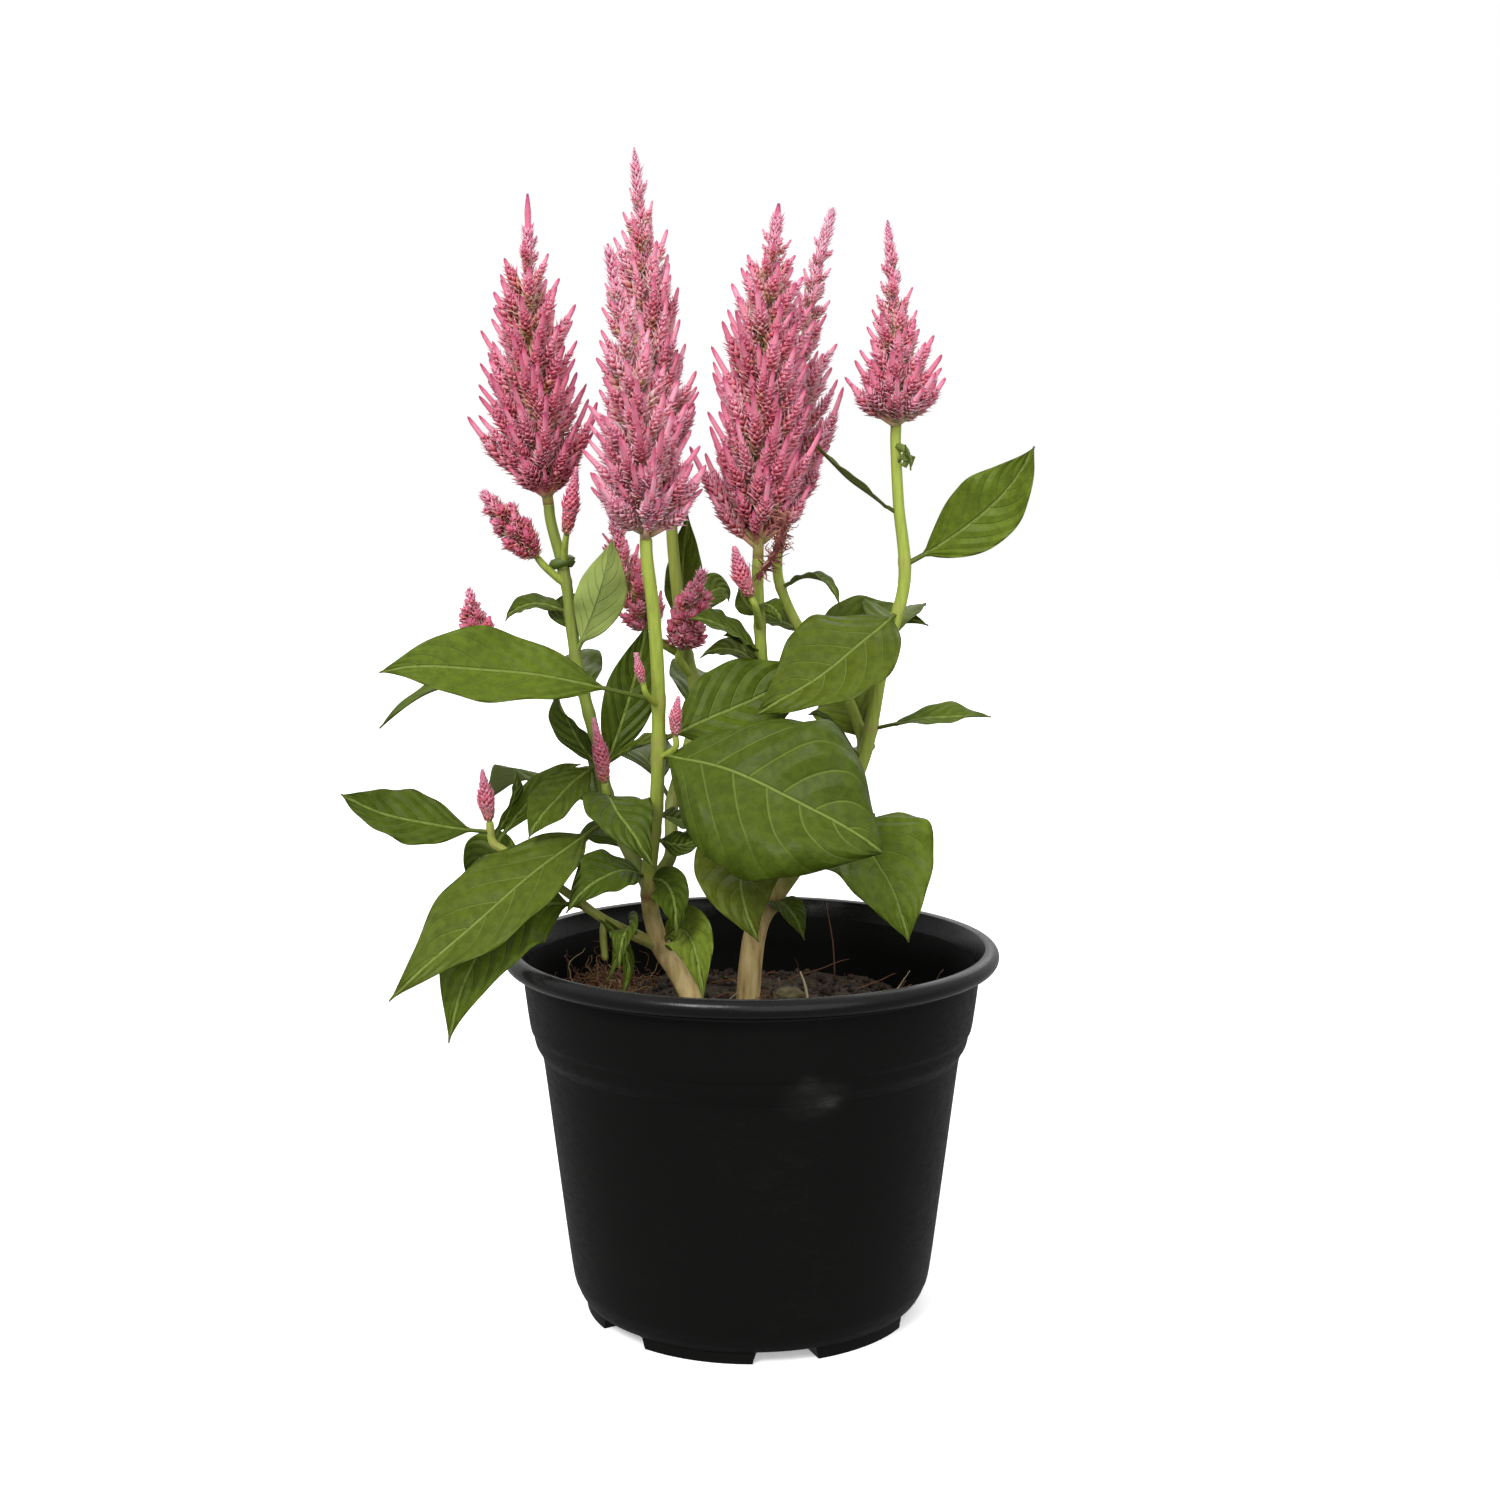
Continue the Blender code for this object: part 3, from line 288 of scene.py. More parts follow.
# Blooms: what carries each (a route's end, or a side shoot from a route at a height), the axis from its
# base to its tip, its radius at shares of that axis, and its count of branchlets
BLOOMS = {
    "plume_left": {
        "route": "left",
        "axis": [(-0.061, 0.009, 0.244), (-0.065, 0.009, 0.275), (-0.066, 0.009, 0.304),
                 (-0.066, 0.008, 0.335)],
        "radii": [(0.0, 0.004), (0.09, 0.010), (0.18, 0.0155), (0.31, 0.018), (0.50, 0.0147), (0.65, 0.0125),
                  (0.75, 0.009), (0.84, 0.0055), (0.90, 0.0022), (1.0, 0.0010)],
        "count": 86,
    },
    "plume_front": {
        "route": "front",
        "axis": [(-0.030, -0.025, 0.234), (-0.031, -0.026, 0.256), (-0.034, -0.027, 0.281),
                 (-0.040, -0.028, 0.316)],
        "radii": [(0.0, 0.004), (0.08, 0.009), (0.18, 0.0155), (0.32, 0.0168), (0.50, 0.0165), (0.62, 0.0115),
                  (0.75, 0.0080), (0.86, 0.0055), (0.94, 0.0030), (1.0, 0.0010)],
        "count": 84,
    },
    "plume_back": {
        "route": "back",
        "axis": [(-0.026, 0.035, 0.259), (-0.030, 0.035, 0.278), (-0.033, 0.035, 0.318),
                 (-0.036, 0.035, 0.353)],
        "radii": [(0.0, 0.005), (0.12, 0.012), (0.30, 0.0145), (0.47, 0.0115), (0.62, 0.0110), (0.74, 0.0085),
                  (0.82, 0.0055), (0.90, 0.0032), (0.96, 0.0014), (1.0, 0.0006)],
        "count": 77,
    },
    "plume_centre": {
        "route": "centre",
        "axis": [(0.002, 0.000, 0.228), (0.003, 0.000, 0.269), (0.005, 0.000, 0.303), (0.008, 0.000, 0.331)],
        "radii": [(0.0, 0.004), (0.09, 0.009), (0.18, 0.015), (0.30, 0.017), (0.50, 0.0145), (0.66, 0.0138),
                  (0.78, 0.0095), (0.86, 0.0052), (0.94, 0.0028), (1.0, 0.0014)],
        "count": 86,
    },
    "plume_inner": {
        "route": "right_inner",
        "axis": [(0.009, 0.026, 0.233), (0.013, 0.027, 0.261), (0.016, 0.028, 0.291), (0.020, 0.028, 0.315),
                 (0.025, 0.028, 0.334)],
        "radii": [(0.0, 0.005), (0.15, 0.009), (0.30, 0.0115), (0.48, 0.0108), (0.60, 0.0075), (0.75, 0.0052),
                  (0.88, 0.0032), (1.0, 0.0009)],
        "count": 53,
    },
    "plume_right": {
        "route": "right",
        "axis": [(0.043, 0.005, 0.267), (0.043, 0.005, 0.284), (0.042, 0.005, 0.304), (0.040, 0.005, 0.327)],
        "radii": [(0.0, 0.005), (0.14, 0.0120), (0.26, 0.0145), (0.40, 0.0130), (0.52, 0.0100),
                  (0.64, 0.0072), (0.76, 0.0045), (0.86, 0.0026), (1.0, 0.0007)],
        "count": 54,
    },
    "cluster_low_left": {
        "shoot": ("back", 0.196, 0.0012),
        "axis": [(-0.030, 0.030, 0.204), (-0.038, 0.025, 0.220), (-0.043, 0.022, 0.243)],
        "radii": [(0.0, 0.0035), (0.25, 0.0085), (0.6, 0.0085), (0.85, 0.0045), (1.0, 0.0008)],
        "count": 35,
    },
    "cluster_low_right": {
        "shoot": ("back", 0.190, 0.0012),
        "axis": [(-0.022, 0.030, 0.199), (-0.019, 0.027, 0.211), (-0.015, 0.024, 0.224)],
        "radii": [(0.0, 0.0035), (0.25, 0.0065), (0.6, 0.006), (0.85, 0.0035), (1.0, 0.0008)],
        "count": 24,
    },
    "side_plume_outer": {
        "shoot": ("left", 0.220, 0.0010),
        "axis": [(-0.064, 0.005, 0.228), (-0.073, 0.003, 0.239), (-0.080, 0.002, 0.248)],
        "radii": [(0.0, 0.003), (0.3, 0.0055), (0.7, 0.004), (1.0, 0.0008)],
        "count": 20,
    },
    "side_plume_near": {
        "shoot": ("left", 0.224, 0.0009),
        "axis": [(-0.055, 0.001, 0.235), (-0.053, -0.004, 0.245), (-0.051, -0.007, 0.255)],
        "radii": [(0.0, 0.002), (0.4, 0.0032), (1.0, 0.0006)],
        "count": 12,
    },
    "head_left": {
        "shoot": ("left", 0.188, 0.0010),
        "axis": [(-0.081, 0.002, 0.204), (-0.083, 0.001, 0.211), (-0.084, 0.000, 0.219)],
        "radii": [(0.0, 0.0035), (0.4, 0.0052), (1.0, 0.001)],
        "count": 18,
    },
    "bud_arm": {
        "route": "front_arm",
        "axis": [(-0.078, -0.008, 0.150), (-0.079, -0.008, 0.157), (-0.080, -0.008, 0.166)],
        "radii": [(0.0, 0.0018), (0.4, 0.0034), (1.0, 0.0006)],
        "count": 14,
    },
    "bud_left": {
        "shoot": ("left", 0.152, 0.0010),
        "axis": [(-0.044, -0.003, 0.161), (-0.045, -0.004, 0.170), (-0.047, -0.005, 0.181)],
        "radii": [(0.0, 0.002), (0.4, 0.0031), (1.0, 0.0006)],
        "count": 14,
    },
    "bud_front_high": {
        "shoot": ("front", 0.170, 0.0009),
        "axis": [(-0.022, -0.020, 0.177), (-0.022, -0.021, 0.183), (-0.021, -0.022, 0.189)],
        "radii": [(0.0, 0.0016), (0.4, 0.0024), (1.0, 0.0006)],
        "count": 11,
    },
    "bud_front": {
        "shoot": ("front", 0.186, 0.0008),
        "axis": [(-0.031, -0.026, 0.193), (-0.032, -0.027, 0.197), (-0.033, -0.027, 0.202)],
        "radii": [(0.0, 0.0012), (0.4, 0.0018), (1.0, 0.0006)],
        "count": 8,
    },
    "head_centre": {
        "shoot": ("centre", 0.207, 0.0009),
        "axis": [(0.000, -0.010, 0.217), (-0.003, -0.012, 0.224), (-0.005, -0.013, 0.232)],
        "radii": [(0.0, 0.002), (0.4, 0.0036), (1.0, 0.0007)],
        "count": 14,
    },
}
# The turn round an axis from one scale or spike to the next
GOLDEN_ANGLE = math.radians(137.5)
# A withered spike, from its loose head down to the stem that it hangs on, and how many threads it has
DRY_SPIKE = [
    (0.0098, -0.0150, 0.2400),
    (0.0085, -0.0150, 0.2340),
    (0.0060, -0.0110, 0.2285),
    (0.0022, -0.0040, 0.2225),
]
DRY_THREADS = 190
# How crimson the foot of a bloom is, and how pale its branchlets are, both from 0 to 1
# The paler a bloom, the stronger the painted highlights on its branchlets
BLOOM_TONES = {
    "plume_left": (1.0, 0.15),
    "plume_front": (0.15, 0.65),
    "plume_back": (0.30, 0.55),
    "plume_centre": (0.55, 0.20),
    "plume_inner": (0.30, 0.80),
    "plume_right": (0.50, 0.40),
}
OTHER_BLOOM_TONE = (0.9, 0.1)
# A bloom with more branchlets than this is a plume
SMALL_BLOOM = 25
PLUME_RACHIS = 0.0017
SMALL_RACHIS = 0.0009
# Added to the radius when the side spikes are shared out along the axis, so that a slim part has some too
SLIM_CROWDING = 0.0022
# How many more spikes a small bloom has than its count says
SMALL_CROWDING = 1.4
# Long side spikes, then short ones between them: their count against the bloom's, and their reach
SPIKE_LAYERS = ((1.0, 0.86, 1.12), (0.9, 0.45, 0.84))
# Shares of the axis where the spikes start and end
FIRST_SPIKE = 0.085
SMALL_FIRST_SPIKE = 0.03
FIRST_SHORT_SPIKE = 0.17
LAST_SPIKE = 0.92
# How far below its tip a side spike is rooted, against its reach, low and high on the bloom
SPIKE_SLOPES = ([0.0, 0.35, 0.8], [0.95, 1.20, 1.50])
LOW_SPIKES = 0.24
# Share of a bloom's radius that its side spikes reach, low on the bloom
FOOT_SLIMNESS = ([0.08, 0.24], [0.72, 1.0])
LEAST_REACH = 0.0011
PLUMP = 0.0031
# The stalk and finger of a side spike as (share of its length, radius against its plumpness)
SPIKE_STALK = [
    (0.0, 0.30), (0.15, 0.25), (0.35, 0.27), (0.6, 0.27),
    (0.8, 0.25), (0.92, 0.21), (0.98, 0.13), (1.0, 0.04),
]
# How large the scales are along the cone of a side spike
SPIKE_CONE = ([0.0, 0.15, 0.38, 0.65, 1.0], [0.40, 0.85, 1.0, 0.86, 0.40])
# Distances from one scale to the next, on a side spike and on the tail of a plume
SCALE_STEP = 0.00023
TAIL_SCALE_STEP = 0.00013
# Blooms slimmer than this are closed buds
BUD_RADIUS = 0.0040
BUD_SCALES = 150
# Large side spikes at the feet of the plumes: root, tip and plumpness
LOBES = {
    "plume_right": [
        ((0.0425, 0.004, 0.2675), (0.0292, 0.001, 0.2795), 0.0030),
        ((0.0435, 0.004, 0.2680), (0.0573, 0.002, 0.2812), 0.0032),
    ],
    "plume_front": [
        ((-0.0290, -0.026, 0.2370), (-0.0128, -0.028, 0.2551), 0.0036),
        ((-0.0285, -0.026, 0.2355), (-0.0168, -0.031, 0.2450), 0.0030),
        ((-0.0310, -0.026, 0.2365), (-0.0452, -0.030, 0.2530), 0.0032),
        ((-0.0300, -0.027, 0.2350), (-0.0280, -0.034, 0.2480), 0.0034),
    ],
    "plume_centre": [
        ((0.0020, 0.000, 0.2325), (-0.0181, -0.003, 0.2610), 0.0036),
        ((0.0020, 0.000, 0.2310), (-0.0125, -0.005, 0.2480), 0.0030),
        ((0.0035, 0.000, 0.2330), (0.0175, -0.002, 0.2500), 0.0032),
    ],
    "plume_inner": [
        ((0.0140, 0.024, 0.2500), (0.0277, 0.014, 0.2792), 0.0034),
        ((0.0110, 0.024, 0.2400), (0.0215, 0.016, 0.2600), 0.0034),
    ],
    "plume_left": [
        ((-0.0615, 0.009, 0.2480), (-0.0842, 0.004, 0.2700), 0.0036),
    ],
}
# Where the scales on a plume's own axis start and end, as shares of it
BLOOM_TAILS = {"plume_left": (0.60, 0.88), "plume_centre": (0.60, 0.94)}
COMMON_TAIL = (0.55, 0.985)
# Radius of a plume's bare tip above its scales
BARE_TIPS = {"plume_left": 0.0010, "plume_centre": 0.0013}

# How light a leaf is, partly painted light and shade, and how far it has turned to olive, both from 0 to 1
LEAF_TONES_AND_PAINTED_LIGHT = {
    "mid": (0.52, 0.10),
    "bright": (0.62, 0.06),
    "fresh": (0.76, 0.06),
    "light": (1.10, 0.10),
    "deep": (0.28, 0.05),
    "shade": (0.52, 0.20),
    "olive": (0.66, 0.35),
}

# Leaves of each route: the height that each grows from, the middle of its midrib, its tip, its width,
# the way its upper face looks, the share of its length that is bare stalk, and its tone
LEAVES = {
    "left": [
        (0.188, (-0.084, 0.000, 0.192), (-0.111, -0.005, 0.178), 0.020, (0.0, -0.1, 1.0), 0.12, "mid"),
        (0.150, (-0.071, -0.023, 0.131), (-0.103, -0.042, 0.104), 0.030, (-0.4, -0.8, 0.45), 0.14, "shade"),
        (0.166, (-0.058, -0.006, 0.157), (-0.066, -0.013, 0.146), 0.015, (-0.2, -0.8, 0.5), 0.10, "mid"),
        (0.156, (-0.039, -0.020, 0.155), (-0.028, -0.029, 0.140), 0.020, (0.2, -0.6, 0.7), 0.12, "deep"),
        (0.164, (-0.055, 0.004, 0.178), (-0.058, -0.004, 0.189), 0.013, (-0.6, -0.6, 0.3), 0.08, "deep"),
        (0.162, (-0.037, 0.013, 0.187), (-0.032, 0.013, 0.208), 0.016, (0.2, -0.9, 0.2), 0.08, "deep"),
        (0.165, (-0.035, 0.006, 0.171), (-0.024, 0.005, 0.175), 0.011, (0.0, -0.2, 1.0), 0.08, "mid"),
        (0.199, (-0.045, 0.000, 0.217), (-0.041, -0.004, 0.234), 0.015, (0.1, 0.9, 0.2), 0.10, "light"),
        (0.206, (-0.057, 0.015, 0.212), (-0.050, 0.019, 0.217), 0.010, (0.0, -0.6, 0.7), 0.08, "mid"),
        (0.211, (-0.067, 0.012, 0.214), (-0.075, 0.012, 0.209), 0.009, (0.0, -0.5, 0.8), 0.08, "mid"),
        (0.138, (-0.048, 0.022, 0.142), (-0.055, 0.030, 0.133), 0.014, (0.0, -0.6, 0.8), 0.10, "mid"),
        (0.146, (-0.066, 0.034, 0.158), (-0.088, 0.054, 0.146), 0.026, (-0.2, 0.3, 0.9), 0.12, "mid"),
        (0.180, (-0.058, 0.032, 0.196), (-0.062, 0.056, 0.190), 0.022, (0.0, 0.4, 0.9), 0.12, "mid"),
    ],
    "front": [
        (0.187, (-0.072, -0.033, 0.1975), (-0.104, -0.040, 0.1975), 0.024, (0.0, -0.8, 0.6), 0.16, "fresh"),
        (0.171, (0.005, -0.038, 0.165), (0.037, -0.044, 0.147), 0.054, (0.1, -0.85, 0.5), 0.05, "deep"),
        (0.175, (-0.004, -0.008, 0.185), (0.022, -0.003, 0.196), 0.026, (0.0, -0.9, 0.4), 0.12, "mid"),
        (0.132, (-0.042, -0.017, 0.136), (-0.054, -0.025, 0.126), 0.017, (-0.1, -0.7, 0.7), 0.10, "deep"),
        (0.132, (-0.024, -0.015, 0.131), (-0.022, -0.021, 0.118), 0.012, (-0.1, -0.95, 0.2), 0.10, "deep"),
        (0.110, (-0.019, -0.012, 0.117), (-0.014, -0.026, 0.100), 0.015, (0.0, -0.95, 0.3), 0.10, "light"),
        (0.153, (-0.021, -0.005, 0.150), (-0.015, 0.000, 0.148), 0.009, (0.0, -0.6, 0.8), 0.10, "mid"),
        (0.146, (-0.021, -0.007, 0.143), (-0.014, -0.005, 0.147), 0.009, (0.0, -0.7, 0.7), 0.10, "mid"),
    ],
    "front_arm": [
        (0.124, (-0.074, -0.022, 0.121), (-0.0875, -0.034, 0.0895), 0.028, (-0.2, -0.9, 0.4), 0.10, "bright"),
        (0.147, (-0.103, -0.014, 0.152), (-0.120, -0.018, 0.160), 0.019, (0.0, -0.7, 0.7), 0.10, "deep"),
        (0.136, (-0.079, -0.001, 0.139), (-0.087, 0.004, 0.131), 0.015, (0.0, -0.9, 0.3), 0.10, "mid"),
        (0.145, (-0.072, -0.001, 0.1555), (-0.071, 0.000, 0.165), 0.008, (1.0, -0.3, 0.0), 0.08, "mid"),
        (0.143, (-0.064, 0.004, 0.158), (-0.052, 0.005, 0.166), 0.010, (0.0, -0.6, 0.7), 0.08, "mid"),
        (0.114, (-0.037, -0.014, 0.119), (-0.039, -0.021, 0.108), 0.010, (-0.5, -0.8, 0.3), 0.10, "mid"),
        # Two limp strips that hang from the arm
        (0.1225, (-0.0375, -0.0085, 0.11), (-0.04, -0.009, 0.096), 0.0042, (0.3, -0.9, 0.1), 0.04, "bright"),
        (0.120, (-0.040, -0.008, 0.112), (-0.044, -0.0075, 0.101), 0.0034, (-0.4, -0.9, 0.1), 0.04, "light"),
    ],
    "back": [
        (0.202, (-0.022, 0.044, 0.221), (-0.020, 0.037, 0.242), 0.013, (0.3, -0.8, 0.3), 0.10, "mid"),
        (0.204, (-0.012, 0.044, 0.217), (-0.007, 0.048, 0.213), 0.012, (0.2, -0.6, 0.7), 0.10, "mid"),
        (0.152, (-0.040, 0.046, 0.166), (-0.054, 0.068, 0.152), 0.026, (-0.1, 0.4, 0.9), 0.12, "mid"),
        (0.172, (-0.014, 0.064, 0.188), (-0.012, 0.092, 0.178), 0.026, (0.1, 0.4, 0.9), 0.12, "mid"),
        (0.142, (-0.006, 0.044, 0.142), (0.002, 0.072, 0.128), 0.024, (0.2, 0.5, 0.8), 0.12, "mid"),
    ],
    "centre": [
        (0.195, (-0.006, -0.007, 0.207), (-0.018, -0.013, 0.211), 0.014, (0.2, -0.5, 0.8), 0.12, "mid"),
        (0.194, (-0.006, 0.016, 0.200), (-0.016, 0.022, 0.197), 0.010, (0.0, -0.6, 0.8), 0.10, "mid"),
        (0.200, (-0.003, -0.004, 0.204), (-0.008, -0.008, 0.206), 0.008, (0.0, -0.6, 0.8), 0.10, "mid"),
        (0.211, (-0.001, 0.005, 0.214), (-0.004, 0.009, 0.219), 0.008, (0.0, -0.8, 0.4), 0.10, "mid"),
        (0.214, (0.006, -0.004, 0.214), (0.009, -0.006, 0.209), 0.007, (0.3, -0.7, 0.5), 0.10, "mid"),
        (0.147, (-0.003, -0.016, 0.138), (0.002, -0.032, 0.119), 0.028, (-0.1, -0.9, 0.45), 0.10, "olive"),
        (0.135, (0.026, 0.046, 0.144), (0.040, 0.066, 0.132), 0.026, (0.3, 0.3, 0.9), 0.12, "mid"),
    ],
    "right": [
        (0.212, (0.024, -0.011, 0.197), (0.001, -0.017, 0.183), 0.032, (-0.1, -0.75, 0.65), 0.06, "shade"),
        (0.226, (0.070, 0.000, 0.2425), (0.083, -0.004, 0.261), 0.021, (-0.3, -0.9, 0.1), 0.10, "fresh"),
        (0.176, (0.055, 0.004, 0.180), (0.072, 0.000, 0.181), 0.013, (0.0, -0.35, 0.95), 0.18, "bright"),
        (0.241, (0.029, 0.003, 0.252), (0.017, 0.004, 0.264), 0.008, (0.6, 0.0, 0.75), 0.10, "mid"),
        (0.256, (0.046, -0.001, 0.259), (0.047, -0.004, 0.254), 0.005, (0.7, -0.6, 0.2), 0.10, "mid"),
        (0.150, (0.037, -0.014, 0.140), (0.046, -0.024, 0.117), 0.036, (0.3, -0.85, 0.4), 0.08, "fresh"),
        (0.121, (0.011, -0.002, 0.123), (0.016, -0.007, 0.114), 0.010, (0.3, -0.8, 0.5), 0.10, "mid"),
        (0.166, (0.024, 0.000, 0.179), (0.017, -0.004, 0.182), 0.006, (0.0, -0.4, 0.9), 0.10, "mid"),
        (0.158, (0.026, 0.036, 0.166), (0.020, 0.064, 0.154), 0.026, (0.0, 0.4, 0.9), 0.12, "bright"),
        (0.198, (0.045, 0.032, 0.211), (0.042, 0.060, 0.203), 0.020, (0.0, 0.4, 0.9), 0.12, "mid"),
    ],
    "right_inner": [
        (0.170, (0.029, 0.024, 0.183), (0.022, 0.031, 0.187), 0.021, (-0.2, -0.9, 0.3), 0.10, "light"),
        (0.202, (0.036, 0.030, 0.209), (0.055, 0.024, 0.207), 0.016, (0.0, -0.6, 0.8), 0.08, "mid"),
        (0.204, (0.009, 0.034, 0.208), (0.002, 0.038, 0.210), 0.010, (0.0, -0.6, 0.8), 0.08, "mid"),
        (0.218, (0.020, 0.017, 0.222), (0.027, 0.011, 0.214), 0.009, (0.3, -0.2, 0.9), 0.10, "mid"),
        (0.186, (0.024, 0.048, 0.194), (0.022, 0.070, 0.184), 0.022, (0.0, 0.4, 0.9), 0.12, "mid"),
    ],
}
# How many points a leaf has along its blade, along its stalk and across
LEAF_STATIONS = 40
STALK_STATIONS = 6
LEAF_COLUMNS = 17
LEAF_THICKNESS = 0.0005
STALK_THICKNESS = 0.0012
STALK_HALF_WIDTH = 0.0008
# Relief of a blade, as shares of its half width, or in metres for the quilting and the midrib
LEAF_FOLD = 0.22
LEAF_WAVE = 0.10
LEAF_WAVES = 1.6
LEAF_WAVE_SHIFT = 900.0
LEAF_RUFFLE = 0.06
LEAF_BILLOW = 0.05
LEAF_QUILT = 0.0010
MIDRIB_GROOVE = 0.0003
MIDRIB_WIDTH = 0.0006
# How fast a blade widens from its base and narrows to its tip
LEAF_BASE_POWER = 0.95
LEAF_TIP_POWER = 1.32
# A leaf wider than this is fuller towards its tip, and its margins droop
WIDE_LEAF = 0.040
WIDE_TIP_POWER = 1.02
MARGIN_DROOP = 1.5
# Side veins of a leaf: how many, how they lean and arch towards the tip, and the step between its halves
SIDE_VEINS = 6.6
VEIN_SLANT = 0.20
VEIN_ARCH = 0.16
VEIN_ARCH_POWER = 2.0
VEIN_OFFSET = 0.45

# Order of a quad's corners that turns it over
TURNED_OVER = [0, 3, 2, 1]


def link_object(name, data):
    made = bpy.data.objects.new(name, data)
    bpy.context.scene.collection.objects.link(made)
    return made


class Shell:
    """Points, faces and named values at each point, gathered into one mesh."""

    def __init__(self, *names):
        self.points = []
        self.faces = []
        self.values = {name: [] for name in names}
        self.count = 0

    def add(self, points, faces, **values):
        points = np.asarray(points, float)
        self.points.append(points)
        self.faces += [np.asarray(block) + self.count for block in faces]
        for name, blocks in self.values.items():
            blocks.append(np.broadcast_to(np.asarray(values[name], float), len(points)))
        self.count += len(points)

    def make(self, name, surface):
        points = np.concatenate(self.points)
        sizes = np.concatenate([np.full(len(block), block.shape[1]) for block in self.faces])
        corners = np.concatenate([block.ravel() for block in self.faces])
        starts = np.concatenate([[0], np.cumsum(sizes)[:-1]])
        mesh = bpy.data.meshes.new(name)
        mesh.vertices.add(len(points))
        mesh.vertices.foreach_set("co", points.astype(np.float32).ravel())
        mesh.loops.add(len(corners))
        mesh.loops.foreach_set("vertex_index", corners.astype(np.int32))
        mesh.polygons.add(len(sizes))
        mesh.polygons.foreach_set("loop_start", starts.astype(np.int32))
        mesh.update(calc_edges=True)
        for key, blocks in self.values.items():
            layer = mesh.attributes.new(key, "FLOAT", "POINT")
            layer.data.foreach_set("value", np.concatenate(blocks).astype(np.float32))
        mesh.materials.append(surface)
        mesh.polygons.foreach_set("use_smooth", np.full(len(sizes), True))
        return link_object(name, mesh)


def place_piece(piece, slot, *nodes):
    """Hangs a piece on the part's one body, in place of the named nodes."""
    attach(piece, "root")
    if nodes:
        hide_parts(*nodes)


# Curves and tubes


def smooth_path(points, per_span):
    """A smooth curve through all the points, with per_span steps from each to the next."""
    points = np.asarray(points, float)
    ends = np.vstack([2 * points[0] - points[1], points, 2 * points[-1] - points[-2]])
    t = (np.arange(per_span) / per_span)[:, None]
    spans = []
    for before, start, end, after in zip(ends, ends[1:], ends[2:], ends[3:]):
        spans.append(
            0.5 * (2 * start + (end - before) * t + (2 * before - 5 * start + 4 * end - after) * t ** 2
                   + (3 * start - before - 3 * end + after) * t ** 3)
        )
    return np.vstack(spans + [points[-1:]])


def unit(vectors):
    return vectors / np.maximum(np.linalg.norm(vectors, axis=-1, keepdims=True), 1e-9)


def frames_along(path):
    """A path's direction at each point, and two unit vectors across it that turn as little as they can."""
    along = unit(np.gradient(path, axis=0))
    first = np.empty_like(path)
    last = np.array([1.0, 0.2, 0.1])
    for place, direction in enumerate(along):
        last = last - direction * last.dot(direction)
        last = last / np.linalg.norm(last)
        first[place] = last
    return along, first, np.cross(along, first)


def ring_quads(rings, around, first=0):
    """Quads between rings of points, each closed on itself, whose points are numbered from first."""
    ring = first + np.arange(rings - 1)[:, None] * around
    step = np.arange(around)[None, :]
    after = (step + 1) % around
    corners = [ring + step, ring + after, ring + after + around, ring + step + around]
    return np.stack(corners, -1).reshape(-1, 4)


def tube(path, radii, sides, ribs=0, rib_depth=0.0):
    """A closed tube along a path, with or without ribs. Returns points, faces and each point's ring."""
    _, first, second = frames_along(path)
    angles = math.tau * np.arange(sides) / sides
    depth = 1.0 + rib_depth * np.cos(ribs * angles)
    round_it = first[:, None] * (np.cos(angles) * depth)[None, :, None]
    round_it = round_it + second[:, None] * (np.sin(angles) * depth)[None, :, None]
    points = (path[:, None] + round_it * np.asarray(radii)[:, None, None]).reshape(-1, 3)
    points = np.vstack([points, path[:1], path[-1:]])
    top = (len(path) - 1) * sides
    start, end = len(points) - 2, len(points) - 1
    step = np.arange(sides)
    after = (step + 1) % sides
    bottom_cap = np.stack([np.full(sides, start), after, step], -1)
    top_cap = np.stack([np.full(sides, end), top + step, top + after], -1)
    rings = np.concatenate([np.repeat(np.arange(len(path)), sides), [0, len(path) - 1]])
    return points, [ring_quads(len(path), sides), bottom_cap, top_cap], rings


def crumb(centre, sizes, draw):
    """A small rough crumb: a squashed octahedron whose faces are split once."""
    corners = np.array([(1, 0, 0), (-1, 0, 0), (0, 1, 0), (0, -1, 0), (0, 0, 1), (0, 0, -1)], float)
    faces = [(0, 2, 4), (2, 1, 4), (1, 3, 4), (3, 0, 4), (2, 0, 5), (1, 2, 5), (3, 1, 5), (0, 3, 5)]
    points = list(corners)
    middles = {}
    split = []
    for a, b, c in faces:
        found = []
        for pair in ((a, b), (b, c), (c, a)):
            key = tuple(sorted(pair))
            if key not in middles:
                middles[key] = len(points)
                middle = corners[key[0]] + corners[key[1]]
                points.append(middle / np.linalg.norm(middle))
            found.append(middles[key])
        ab, bc, ca = found
        split += [(a, ab, ca), (ab, b, bc), (ca, bc, c), (ab, bc, ca)]
    points = np.array(points)
    points = points * (1.0 + CRUMB_ROUGHNESS * draw.uniform(-1.0, 1.0, (len(points), 1))) * np.asarray(sizes)
    turn = draw.uniform(0.0, math.tau)
    turned = points.copy()
    turned[:, 0] = points[:, 0] * math.cos(turn) - points[:, 1] * math.sin(turn)
    turned[:, 1] = points[:, 0] * math.sin(turn) + points[:, 1] * math.cos(turn)
    return turned + centre, [np.array(split)]


# Materials


def new_material(name):
    made = bpy.data.materials.new(name)
    made.use_nodes = True
    return made, made.node_tree, made.node_tree.nodes["Principled BSDF"]


def connect(tree, socket, value):
    """Links an input to another node, or sets its value."""
    if isinstance(value, bpy.types.NodeSocket):
        tree.links.new(value, socket)
    else:
        socket.default_value = value


def dress(tree, shader, inputs):
    """Links or sets the named inputs of a surface."""
    for name, value in inputs.items():
        connect(tree, shader.inputs[name], value)


